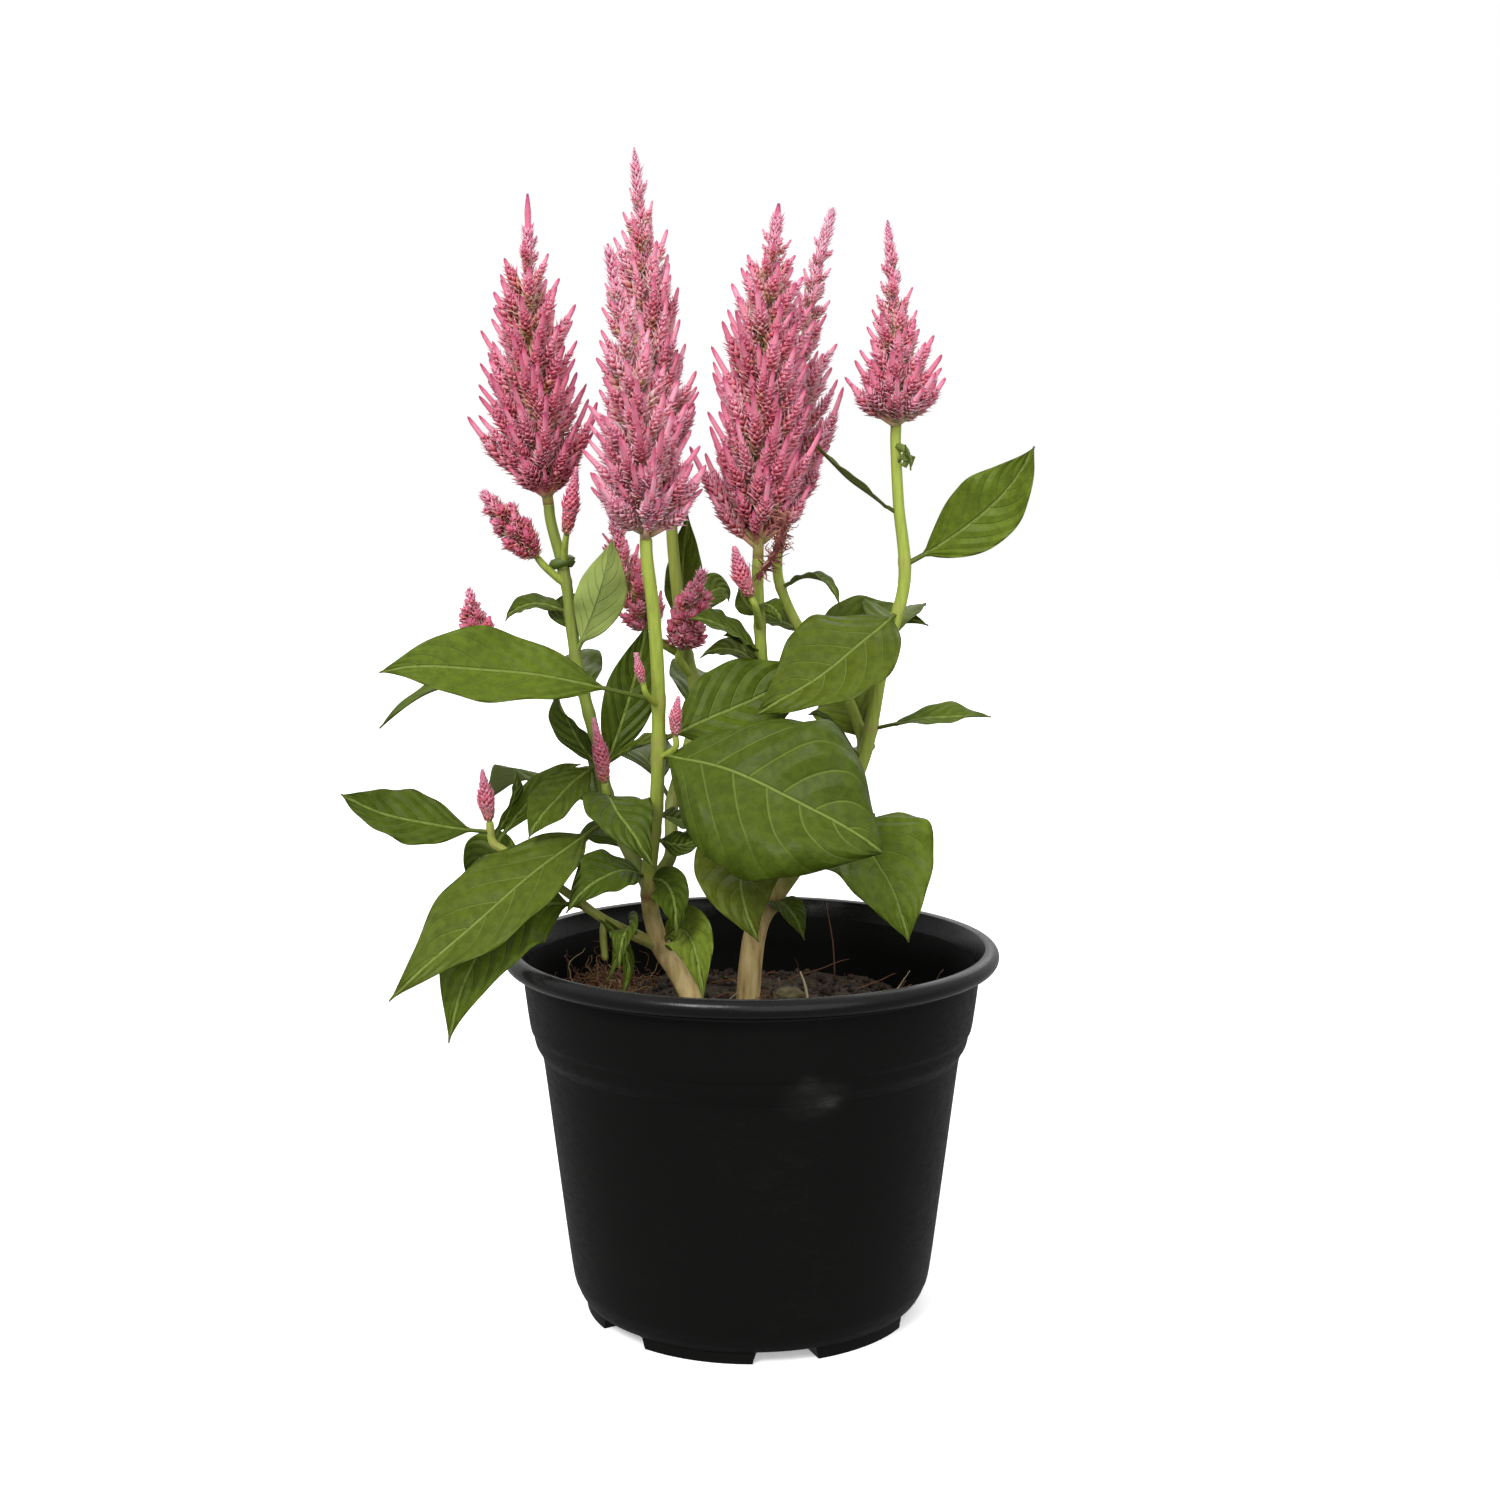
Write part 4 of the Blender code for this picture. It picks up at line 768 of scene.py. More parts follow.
def put(tree, kind, **inputs):
    """A shader node with its inputs set or linked by name or number."""
    made = tree.nodes.new(kind)
    for name, value in inputs.items():
        by_number = name[0] == "i" and name[1:].isdigit()
        connect(tree, made.inputs[int(name[1:]) if by_number else name], value)
    return made


def values_of(tree, *names):
    """The named values that a mesh carries at its points."""
    found = []
    for name in names:
        made = tree.nodes.new("ShaderNodeAttribute")
        made.attribute_name = name
        found.append(made.outputs["Fac"])
    return found


def calculate(tree, operation, *terms):
    made = put(tree, "ShaderNodeMath", **{f"i{place}": term for place, term in enumerate(terms)})
    made.operation = operation
    return made.outputs[0]


def times(tree, *terms):
    return calculate(tree, "MULTIPLY", *terms)


def plus(tree, *terms):
    return calculate(tree, "ADD", *terms)


def minus(tree, *terms):
    return calculate(tree, "SUBTRACT", *terms)


def spread(tree, value, low, high, to_low=0.0, to_high=1.0):
    """Maps a value from one range to another, held inside it, with soft ends."""
    made = put(tree, "ShaderNodeMapRange", i0=value, i1=low, i2=high, i3=to_low, i4=to_high)
    made.interpolation_type = "SMOOTHSTEP"
    return made.outputs[0]


def colours(tree, value, *stops):
    """A run of colours. Each stop is its place from 0 to 1 and its colour."""
    made = put(tree, "ShaderNodeValToRGB", Fac=value)
    elements = made.color_ramp.elements
    while len(elements) < len(stops):
        elements.new(0.5)
    for element, (place, colour) in zip(elements, stops):
        element.position = place
        element.color = (*colour, 1.0)
    return made.outputs[0]


def blend_colours(tree, share, under, over, way="MIX"):
    made = tree.nodes.new("ShaderNodeMix")
    made.data_type = "RGBA"
    made.blend_type = way
    for number, value in ((0, share), (6, under), (7, over)):
        connect(tree, made.inputs[number], (*value, 1.0) if isinstance(value, tuple) else value)
    return made.outputs[2]


def dim(tree, colour, share):
    """A colour multiplied by a share."""
    grey = put(tree, "ShaderNodeCombineColor", i0=share, i1=share, i2=share).outputs[0]
    return blend_colours(tree, 1.0, colour, grey, "MULTIPLY")


def object_place(tree):
    return tree.nodes.new("ShaderNodeTexCoord").outputs["Object"]


def spots(tree, scale, detail, stretch=None, roughness=0.55):
    """Soft noise in the part's own metres."""
    where = object_place(tree)
    if stretch:
        mapping = put(tree, "ShaderNodeMapping", Vector=where)
        mapping.inputs["Scale"].default_value = stretch
        where = mapping.outputs[0]
    made = put(tree, "ShaderNodeTexNoise", Vector=where, Scale=scale, Detail=detail, Roughness=roughness)
    return made.outputs["Fac"]


def relief(tree, shader, height, strength, distance):
    made = put(tree, "ShaderNodeBump", Height=height, Strength=strength, Distance=distance)
    tree.links.new(made.outputs[0], shader.inputs["Normal"])


def bloom_material():
    """Papery florets: olive at the rachis, pink scales, pale fingers, dark tips; painted highlights and
    shade.
    """
    made, tree, shader = new_material("celosia floret")
    reach, chance, edge, rise, deep, pale = values_of(tree, "reach", "chance", "edge", "rise", "deep", "pale")
    base = colours(
        tree, reach,
        (0.00, (0.40, 0.42, 0.090)),
        (0.17, (0.56, 0.42, 0.120)),
        (0.31, (0.84, 0.240, 0.240)),
        (0.50, (0.86, 0.180, 0.280)),
        (0.74, (0.88, 0.260, 0.385)),
        (0.90, (0.80, 0.200, 0.340)),
        (0.96, (0.55, 0.080, 0.190)),
        (1.00, (0.20, 0.030, 0.080)),
    )
    low = times(tree, spread(tree, rise, 0.5, 0.05), deep)
    inside = times(tree, spread(tree, reach, 0.9, 0.5), spread(tree, reach, 0.10, 0.28))
    inside = times(tree, times(tree, inside, low), 0.72)
    base = blend_colours(tree, inside, base, (0.54, 0.045, 0.085))
    base = blend_colours(tree, times(tree, pale, 0.35), base, (0.95, 0.36, 0.48))
    # Painted highlight: pale pink towards the tips of the scales and on the fingers, stronger on paler blooms
    lights = times(tree, spread(tree, edge, 0.15, 0.75), spread(tree, reach, 0.98, 0.85))
    lights = times(tree, lights, spread(tree, chance, 0.2, 0.95, 0.12, 1.0))
    lights = times(tree, lights, plus(tree, 0.28, times(tree, pale, 0.40)))
    base = blend_colours(tree, lights, base, (0.95, 0.60, 0.70))
    # Tone that differs at random from scale to scale, with painted shade darkening the roots of the scales
    tone_and_painted_root_shade = times(tree, spread(tree, chance, 0.0, 1.0, 0.82, 1.04), spread(tree, edge, 0.0, 0.3, 0.88, 1.0))
    dress(tree, shader, {
        "Base Color": dim(tree, base, tone_and_painted_root_shade),
        "Roughness": 0.45,
        "Specular IOR Level": 0.22,
        "Subsurface Weight": 0.6,
        "Subsurface Radius": (1.0, 0.35, 0.40),
        "Subsurface Scale": 0.0012,
        "Sheen Weight": 0.06,
        "Sheen Roughness": 0.4,
        "Sheen Tint": (1.0, 0.82, 0.88, 1.0),
    })
    relief(tree, shader, spots(tree, 1800.0, 3.0), 0.30, 0.0002)
    return made


def vein_pattern(tree, blade, side):
    """How near a point of a leaf is to a side vein, from 0 to 1, and how far from it across the gap."""
    across = calculate(tree, "ABSOLUTE", side)
    arch = times(tree, calculate(tree, "POWER", across, VEIN_ARCH_POWER), VEIN_ARCH)
    along = minus(tree, blade, plus(tree, times(tree, across, VEIN_SLANT), arch))
    turned = times(tree, spread(tree, side, -0.001, 0.001), VEIN_OFFSET)
    wave = calculate(tree, "FRACT", plus(tree, times(tree, along, SIDE_VEINS), turned))
    away = calculate(tree, "ABSOLUTE", minus(tree, wave, 0.5))
    line = spread(tree, away, 0.075, 0.0)
    return times(tree, line, spread(tree, across, 0.95, 0.45)), away


def leaf_material():
    """Leaf with a pale midrib and side veins, paler below, mottled, a little glossy, with painted light and
    shade.
    """
    made, tree, shader = new_material("celosia leaf")
    blade, side, reach = values_of(tree, "blade", "side", "reach")
    under, light, olive = values_of(tree, "under", "light", "olive")
    veins, away = vein_pattern(tree, blade, side)
    midrib = spread(tree, reach, 0.0007, 0.00025)
    fine = spots(tree, 380.0, 4.0)
    # The leaf's lightness, partly painted light and shade, with mottling
    tone = plus(tree, times(tree, light, 0.8), times(tree, spots(tree, 60.0, 5.0), 0.30))
    base = colours(
        tree, minus(tree, tone, 0.02),
        (0.0, (0.028, 0.046, 0.0035)),
        (0.35, (0.055, 0.086, 0.0060)),
        (0.7, (0.088, 0.132, 0.0095)),
        (1.0, (0.150, 0.205, 0.0220)),
    )
    base = blend_colours(tree, olive, base, (0.085, 0.078, 0.010))
    base = dim(tree, base, spread(tree, fine, 0.35, 0.65, 0.85, 1.10))
    marks = calculate(tree, "MAXIMUM", times(tree, veins, 0.42), times(tree, midrib, 0.75))
    base = blend_colours(tree, marks, base, (0.20, 0.26, 0.055))
    below = blend_colours(tree, light, (0.07, 0.10, 0.022), (0.34, 0.42, 0.120))
    below = blend_colours(tree, marks, below, (0.24, 0.30, 0.085))
    dress(tree, shader, {
        "Base Color": blend_colours(tree, times(tree, under, 0.8), base, below),
        "Roughness": spread(tree, under, 0.0, 1.0, 0.44, 0.62),
        "Specular IOR Level": 0.11,
    })
    ribs = plus(tree, times(tree, veins, -0.5), times(tree, midrib, -1.0))
    pillow = times(tree, away, spread(tree, under, 0.0, 1.0, 1.9, 0.3))
    height = plus(tree, plus(tree, ribs, pillow), times(tree, fine, 0.5))
    relief(tree, shader, height, 0.75, 0.0007)
    return made


def stem_material():
    """Ribbed green stem, tan and woody towards the soil, with darker rings at its joints."""
    made, tree, shader = new_material("celosia stem")
    thick, ring, scar, leafy = values_of(tree, "thick", "ring", "scar", "leafy")
    height = put(tree, "ShaderNodeSeparateXYZ", Vector=object_place(tree)).outputs["Z"]
    wobble = times(tree, minus(tree, spots(tree, 160.0, 3.0), 0.5), 0.035)
    woody = times(tree, spread(tree, plus(tree, height, wobble), 0.135, 0.112), thick)
    green = colours(
        tree, spread(tree, height, 0.12, 0.25),
        (0.0, (0.27, 0.31, 0.050)),
        (0.5, (0.31, 0.38, 0.048)),
        (1.0, (0.37, 0.45, 0.066)),
    )
    streaks = spots(tree, 900.0, 3.0, (1.0, 1.0, 0.06))
    green = blend_colours(tree, spread(tree, streaks, 0.4, 0.7, 0.0, 0.5), green, (0.19, 0.25, 0.035))
    bark = colours(
        tree, spots(tree, 500.0, 5.0, (1.0, 1.0, 0.15)),
        (0.25, (0.26, 0.12, 0.050)),
        (0.45, (0.60, 0.44, 0.18)),
        (0.75, (0.82, 0.66, 0.34)),
    )
    base = blend_colours(tree, woody, green, bark)
    base = blend_colours(tree, times(tree, ring, 0.35), base, (0.30, 0.22, 0.09))
    base = blend_colours(tree, times(tree, scar, 0.8), base, (0.26, 0.075, 0.045))
    base = blend_colours(tree, leafy, base, (0.060, 0.105, 0.018))
    dress(tree, shader, {"Base Color": base, "Roughness": 0.5, "Specular IOR Level": 0.35})
    relief(tree, shader, streaks, 0.35, 0.0003)
    return made


def pot_material(name, dark, gloss, shine):
    """Moulded black plastic with a little dust, and pale spots painted on the wall as highlights."""
    made, tree, shader = new_material(name)
    grain = spots(tree, 240.0, 6.0, (1.0, 1.0, 2.5), 0.7)
    dusty = times(tree, spread(tree, spots(tree, 26.0, 4.0), 0.48, 0.75), spread(tree, grain, 0.4, 0.8))
    base = blend_colours(tree, times(tree, dusty, 0.10), (dark, dark, dark * 0.93), (0.035, 0.034, 0.031))
    where = object_place(tree)
    # Painted highlights: pale spots laid into the base colour of the wall
    for place, size, strength in POT_PAINTED_HIGHLIGHTS:
        apart = put(tree, "ShaderNodeVectorMath", i0=where, i1=place)
        apart.operation = "SUBTRACT"
        flat = put(tree, "ShaderNodeVectorMath", i0=apart.outputs[0], i1=PAINTED_HIGHLIGHT_SHAPE)
        flat.operation = "MULTIPLY"
        length = put(tree, "ShaderNodeVectorMath", i0=flat.outputs[0])
        length.operation = "LENGTH"
        near = spread(tree, length.outputs["Value"], size, 0.0, 0.0, strength)
        painted_wall_highlight = times(tree, near, spread(tree, grain, 0.25, 0.65, 0.35, 1.0))
        base = blend_colours(tree, painted_wall_highlight, base, (0.30, 0.30, 0.29))
    dress(tree, shader, {
        "Base Color": base,
        "Roughness": spread(tree, grain, 0.3, 0.8, gloss, gloss + 0.16),
        "Specular IOR Level": shine,
    })
    relief(tree, shader, spots(tree, 1400.0, 3.0), 0.12, 0.0002)
    return made


def soil_material():
    """Dark, moist, crumbly peat."""
    made, tree, shader = new_material("peat")
    crumbs = spots(tree, 420.0, 8.0, None, 0.7)
    patches = spots(tree, 70.0, 4.0)
    base = colours(
        tree, crumbs,
        (0.30, (0.020, 0.016, 0.009)),
        (0.52, (0.052, 0.040, 0.022)),
        (0.70, (0.120, 0.086, 0.048)),
    )
    base = blend_colours(tree, spread(tree, patches, 0.5, 0.75, 0.0, 0.5), base, (0.050, 0.024, 0.014))
    dress(tree, shader, {"Base Color": base, "Roughness": 0.92})
    relief(tree, shader, crumbs, 0.9, 0.0012)
    return made


def bark_material():
    """Weathered olive-brown bark."""
    made, tree, shader = new_material("olive bark")
    grain = spots(tree, 600.0, 6.0, (0.5, 1.0, 1.6))
    base = colours(
        tree, grain,
        (0.3, (0.035, 0.026, 0.012)),
        (0.55, (0.13, 0.105, 0.045)),
        (0.75, (0.24, 0.20, 0.10)),
    )
    dress(tree, shader, {"Base Color": base, "Roughness": 0.85})
    relief(tree, shader, grain, 0.8, 0.0008)
    return made


def fibre_material(name, roughness, *stops):
    """Dry fibres, each with its own shade out of a run of colours."""
    made, tree, shader = new_material(name)
    base = colours(tree, values_of(tree, "shade")[0], *stops)
    dress(tree, shader, {"Base Color": base, "Roughness": roughness})
    relief(tree, shader, spots(tree, 1500.0, 4.0), 0.4, 0.0003)
    return made


# Pot


def turned_rings(profile, segments):
    """Points and quads of a profile turned about Z."""
    profile = np.asarray(profile, float)
    angles = math.tau * np.arange(segments) / segments
    radii, heights = profile[:, 0], profile[:, 1]
    across, deep = np.outer(radii, np.cos(angles)), np.outer(radii, np.sin(angles))
    points = np.stack([across, deep, np.repeat(heights[:, None], segments, 1)], -1).reshape(-1, 3)
    return points, ring_quads(len(profile), segments)


def sector(inner, levels, middle):
    """A closed block that spans an angle about Z. Each level is (height, outer radius, half angle)."""
    points = []
    for height, outer, half in levels:
        for radius in (inner, outer):
            turns = middle + half * np.linspace(-1.0, 1.0, SECTOR_STEPS + 1)
            turns = turns if radius == inner else turns[::-1]
            points += [(radius * math.cos(turn), radius * math.sin(turn), height) for turn in turns]
    ring = 2 * (SECTOR_STEPS + 1)
    faces = [list(range(ring))[::-1], list(range(ring * (len(levels) - 1), ring * len(levels)))]
    return points, faces + ring_quads(len(levels), ring).tolist()


def plain_object(name, points, faces):
    mesh = bpy.data.meshes.new(name)
    mesh.from_pydata([tuple(point) for point in points], [], faces)
    shell = bmesh.new()
    shell.from_mesh(mesh)
    bmesh.ops.recalc_face_normals(shell, faces=shell.faces)
    shell.to_mesh(mesh)
    shell.free()
    return link_object(name, mesh)


def cut_with(target, cutters, operation):
    """One applied Boolean of the target with the cutters, which are then removed."""
    group = bpy.data.collections.new("cutters")
    for cutter in cutters:
        group.objects.link(cutter)
    boolean = target.modifiers.new("boolean", "BOOLEAN")
    boolean.operation = operation
    boolean.operand_type = "COLLECTION"
    boolean.collection = group
    boolean.solver = "EXACT"
    bpy.context.view_layer.update()
    graph = bpy.context.evaluated_depsgraph_get()
    mesh = bpy.data.meshes.new_from_object(target.evaluated_get(graph))
    target.modifiers.clear()
    target.data = mesh
    for cutter in cutters:
        bpy.data.objects.remove(cutter, do_unlink=True)
    bpy.data.collections.remove(group)


def pot_profile():
    """The pot's section as (radius, height), from the middle of its foot, over the rim, to its floor."""
    roll = []
    for step in range(RIM_ROLL_STEPS + 1):
        turn = math.radians(RIM_ROLL_START + RIM_ROLL_SPAN * step / RIM_ROLL_STEPS)
        roll.append((
            RIM_RADIUS - RIM_ROLL + RIM_ROLL * math.cos(turn),
            POT_HEIGHT - RIM_ROLL + RIM_ROLL * math.sin(turn),
        ))
    foot = [(radius, 0.0) for radius in FLOOR_RADII]
    floor = [(radius, FLOOR_THICKNESS) for radius in FLOOR_RADII[1::-1]]
    outside = smooth_path(POT_OUTSIDE[1:], 4)
    inside = smooth_path(POT_INSIDE[::-1], 2)
    return np.vstack([foot, POT_OUTSIDE[:1], outside, roll, inside, floor])


def drain_hole(angle):
    x = DRAIN_HOLE_PLACE * math.cos(angle)
    y = DRAIN_HOLE_PLACE * math.sin(angle)
    sides = DRAIN_HOLE_SIDES
    path = np.array([(x, y, height) for height in DRAIN_HOLE_SPAN])
    points, _, _ = tube(path, [DRAIN_HOLE_RADIUS] * 2, sides)
    caps = [list(range(sides))[::-1], list(range(sides, 2 * sides))]
    return plain_object("drain hole", points[:2 * sides], ring_quads(2, sides).tolist() + caps)


def shape_foot(pot):
    """Walls the foot gaps, and cuts them and their drain holes."""
    half = math.asin(FOOT_GAP_WIDTH / 2 / POT_OUTSIDE[0][0])
    wide = half + WALL / POT_OUTSIDE[0][0]
    heights = (0.0, FOOT_BEND_HEIGHT, FOOT_GAP_HEIGHT + WALL)
    block_levels = [(height, radius, wide) for height, radius in zip(heights, FOOT_BLOCK_RADII)]
    gap_levels = [
        (-WALL, FOOT_GAP_OUTER_RADIUS, half),
        (FOOT_GAP_HEIGHT, FOOT_GAP_OUTER_RADIUS, half * FOOT_GAP_TAPER),
    ]
    blocks = []
    gaps = []
    for number in range(FOOT_GAPS):
        middle = FOOT_GAP_START + math.tau * number / FOOT_GAPS
        blocks.append(plain_object("foot block", *sector(FOOT_GAP_INNER_RADIUS - WALL, block_levels, middle)))
        gaps.append(plain_object("foot gap", *sector(FOOT_GAP_INNER_RADIUS, gap_levels, middle)))
        gaps.append(drain_hole(middle))
    cut_with(pot, blocks, "UNION")
    cut_with(pot, gaps, "DIFFERENCE")


def make_pot():
    profile = pot_profile()
    points, quads = turned_rings(profile, POT_SEGMENTS)
    last = (len(profile) - 1) * POT_SEGMENTS
    ends = [list(range(POT_SEGMENTS))[::-1], list(range(last, last + POT_SEGMENTS))]
    pot = plain_object("pot_body", points, quads.tolist() + ends)
    shape_foot(pot)
    mesh = pot.data
    mesh.materials.clear()
    for name, values in PLASTICS.items():
        mesh.materials.append(pot_material("black plastic " + name, *values))
    for face in mesh.polygons:
        face.material_index = int(face.center.z > RIM_START)
    mesh.shade_smooth()
    mesh.set_sharp_from_angle(angle=POT_CREASE)
    place_piece(pot, "black_plastic", "pot")


# Soil


def soil_height(x, y):
    """Lumpy top of the soil, a little higher in the middle."""
    lumps = 0.0
    for fineness, level, share in SOIL_LUMPS:
        lumps += share * noise.noise(Vector((x * fineness, y * fineness, level)))
    return SOIL_TOP + SOIL_LUMP * lumps - SOIL_DOME * (x * x + y * y) / 2.0


def crumbled_height(x, y):
    height = soil_height(x, y)
    for fineness, rise in SOIL_GRAINS:
        height += rise * noise.noise(Vector((x, y, 0.2)) * fineness)
    return height


def make_soil():
    turns = SOIL_TURNS
    angles = [math.tau * turn / turns for turn in range(turns)]
    points = [(0.0, 0.0, crumbled_height(0.0, 0.0))]
    for ring in range(1, SOIL_RINGS + 1):
        radius = SOIL_RADIUS * ring / SOIL_RINGS
        for angle in angles:
            x, y = radius * math.cos(angle), radius * math.sin(angle)
            points.append((x, y, crumbled_height(x, y)))
    for radius, height in SOIL_SIDE:
        points += [(radius * math.cos(angle), radius * math.sin(angle), height) for angle in angles]
    points.append((0.0, 0.0, SOIL_SIDE[-1][1]))
    step = np.arange(turns)
    after = (step + 1) % turns
    rings = SOIL_RINGS + len(SOIL_SIDE)
    last = 1 + (rings - 1) * turns
    crown = np.stack([np.zeros(turns, int), 1 + step, 1 + after], -1)
    floor = np.stack([np.full(turns, len(points) - 1), last + after, last + step], -1)
    shell = Shell()
    shell.add(points, [ring_quads(rings, turns, 1)[:, TURNED_OVER], crown, floor])
    place_piece(shell.make("soil_surface", soil_material()), "peat", "soil")


def fibre(shell, draw, start, heading, length, radius, shade, droop, bend, steps=9, sides=4):
    """One root or straw that wanders from its start."""
    direction = unit(np.asarray(heading, float))
    path = [np.asarray(start, float)]
    sag = np.array([0.0, 0.0, droop / steps])
    for _ in range(steps - 1):
        direction = unit(direction + draw.normal(0.0, bend / steps ** 0.5, 3) - sag)
        path.append(path[-1] + direction * length / (steps - 1))
    path = np.array(path)
    from_axis = np.hypot(path[:, 0], path[:, 1])
    path[:, :2] *= np.minimum(1.0, FIBRE_REACH / np.maximum(from_axis, FIBRE_REACH / 2))[:, None]
    points, faces, _ = tube(path, radius * np.linspace(1.0, 0.35, steps), sides)
    shell.add(points, faces, shade=shade)


def spot_on_soil(draw, share):
    """A random place within a share of the soil's radius."""
    radius = SOIL_RADIUS * share * math.sqrt(draw.uniform())
    angle = draw.uniform(0.0, math.tau)
    return radius * math.cos(angle), radius * math.sin(angle)


def make_soil_litter():
    """Crumbs, roots and straws that lie on the soil."""
    draw = np.random.default_rng(21)
    shell = Shell("shade")
    for _ in range(CRUMBS):
        x, y = spot_on_soil(draw, 0.97)
        size = draw.uniform(*CRUMB_SIZES)
        sizes = size * draw.uniform(0.6, 1.3, 3)
        points, faces = crumb((x, y, soil_height(x, y) + size * 0.3), sizes, draw)
        shell.add(points, faces, shade=draw.uniform(0.0, 0.42) ** 1.2)
    for _ in range(LOOSE_ROOTS):
        x, y = spot_on_soil(draw, 0.93)
        heading = (draw.normal(), draw.normal(), draw.uniform(0.0, 0.6))
        start = (x, y, soil_height(x, y) - 0.0003)
        fibre(shell, draw, start, heading, draw.uniform(*LOOSE_ROOT_LENGTHS), draw.uniform(*LOOSE_ROOT_RADII),
              draw.uniform(0.25, 0.75), 1.2, 1.0)
    # The tangle of fine roots at the left
    for _ in range(ROOT_TANGLE):
        x, y = (draw.normal(middle, wide) for middle, wide in zip(TANGLE_MIDDLE, TANGLE_SPREAD))
        if math.hypot(x, y) > SOIL_RADIUS * 0.95:
            continue
        start = (x, y, soil_height(x, y) + draw.uniform(0.0, TANGLE_HEIGHT))
        heading = (draw.normal(), draw.normal(), draw.normal() * 0.6)
        fibre(shell, draw, start, heading, draw.uniform(*TANGLE_LENGTHS), draw.uniform(*TANGLE_RADII),
              draw.uniform(0.42, 0.90), 1.4, 1.7, 12)
    for start, heading, length, radius, shade in STRAWS:
        fibre(shell, draw, start, heading, length, radius, shade, 0.1, 0.16, 9, 6)
    # Short roots that stand out of the foot of each trunk
    for route in TRUNKS:
        x, y, _, radius = STEM_ROUTES[route][0]
        for _ in range(TRUNK_ROOTS):
            angle = draw.uniform(0.0, math.tau)
            out = np.array([math.cos(angle), math.sin(angle), 0.0])
            start = np.array([x, y, soil_height(x, y) + draw.uniform(0.0, 0.0035)]) + out * radius * 0.9
            length = draw.uniform(*TRUNK_ROOT_LENGTHS)
            fibre(shell, draw, start, out + (0.0, 0.0, 0.1), length, TRUNK_ROOT_RADIUS,
                  draw.uniform(0.55, 0.95), 2.2, 0.8)
    surface = fibre_material(
        "soil fibre", 0.75,
        (0.0, (0.010, 0.006, 0.004)),
        (0.35, (0.060, 0.026, 0.014)),
        (0.6, (0.210, 0.085, 0.038)),
        (0.85, (0.420, 0.250, 0.110)),
        (1.0, (0.800, 0.700, 0.440)),
    )
    place_piece(shell.make("soil_litter", surface), "peat")


def make_bark_chip():
    """A rounded lump lying on the soil."""
    low, high = (np.array(corner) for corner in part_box("bark_chip"))
    middle, half = (low + high) / 2, (high - low) / 2
    rings, turns = 16, 28
    points = []
    for ring in range(rings + 1):
        slope = math.pi * ring / rings
        for turn in range(turns):
            angle = math.tau * turn / turns
            across = math.sin(slope)
            way = Vector((across * math.cos(angle), across * math.sin(angle), math.cos(slope)))
            bump = 0.97 + 0.16 * noise.noise(way * 2.6) + 0.05 * noise.noise(way * 8.0)
            points.append(middle + half * np.array(way) * bump)
    shell = Shell()
    shell.add(points, [ring_quads(rings + 1, turns)[:, TURNED_OVER]])
    place_piece(shell.make("bark_lump", bark_material()), "bark", "bark_chip")


# Stems


def bloom_on(route):
    return next(bloom for bloom in BLOOMS.values() if bloom.get("route") == route)


def shoots_on(route):
    return [bloom for bloom in BLOOMS.values() if "shoot" in bloom and bloom["shoot"][0] == route]


def route_path(route):
    """A stem's centre line and radii, from its foot in the soil to the bloom that it carries."""
    points = [np.array(point) for point in STEM_ROUTES[route]]
    if route in TRUNKS:
        x, y, height, radius = points[0]
        foot = [np.array((x, y, low, radius)) for low in (STEM_FOOT, (STEM_FOOT + height) / 2)]
        points = foot + points
    base, above = (np.array(point) for point in bloom_on(route)["axis"][:2])
    radius = points[-1][3] * 0.95
    points += [np.append(base - unit(above - base) * 0.006, radius), np.append(base, radius)]
    path = smooth_path(points, 12)
    return path[:, :3], path[:, 3]


def place_on_route(route, height):
    """The point of a stem's centre line at a height above the surface."""
    path, _ = route_path(route)
    for low, high in zip(path, path[1:]):
        if low[2] <= height <= high[2]:
            return low + (high - low) * (height - low[2]) / (high[2] - low[2])
    return path[-1]


def joint_heights(route):
    """Heights at which leaves and shoots leave a stem."""
    heights = [row[0] for row in LEAVES[route] if row[3] > LEAST_JOINTED_WIDTH]
    return heights + [bloom["shoot"][1] for bloom in shoots_on(route)]


def shoot_path(bloom):
    """A side shoot from a stem to the base of its bloom."""
    route, height, radius = bloom["shoot"]
    base, above = np.array(bloom["axis"][0]), np.array(bloom["axis"][1])
    along = unit(above - base)
    root = place_on_route(route, height)
    corners = [root, root + (base - along * 0.004 - root) * 0.55, base - along * 0.003, base]
    path = smooth_path(corners, 8)
    return path, np.linspace(radius * 1.25, radius, len(path))


def add_stem(shell, path, radii, sides, ribs, rib_depth, ring=0.0, thick=0.0, scar=0.0, leafy=0.0):
    """A ribbed tube. Its joint rings and scars may have a value for each point of the path."""
    points, faces, at = tube(path, radii, sides, ribs, rib_depth)
    ring, scar = (np.broadcast_to(value, len(path))[at] for value in (ring, scar))
    shell.add(points, faces, ring=ring, thick=thick, scar=scar, leafy=leafy)


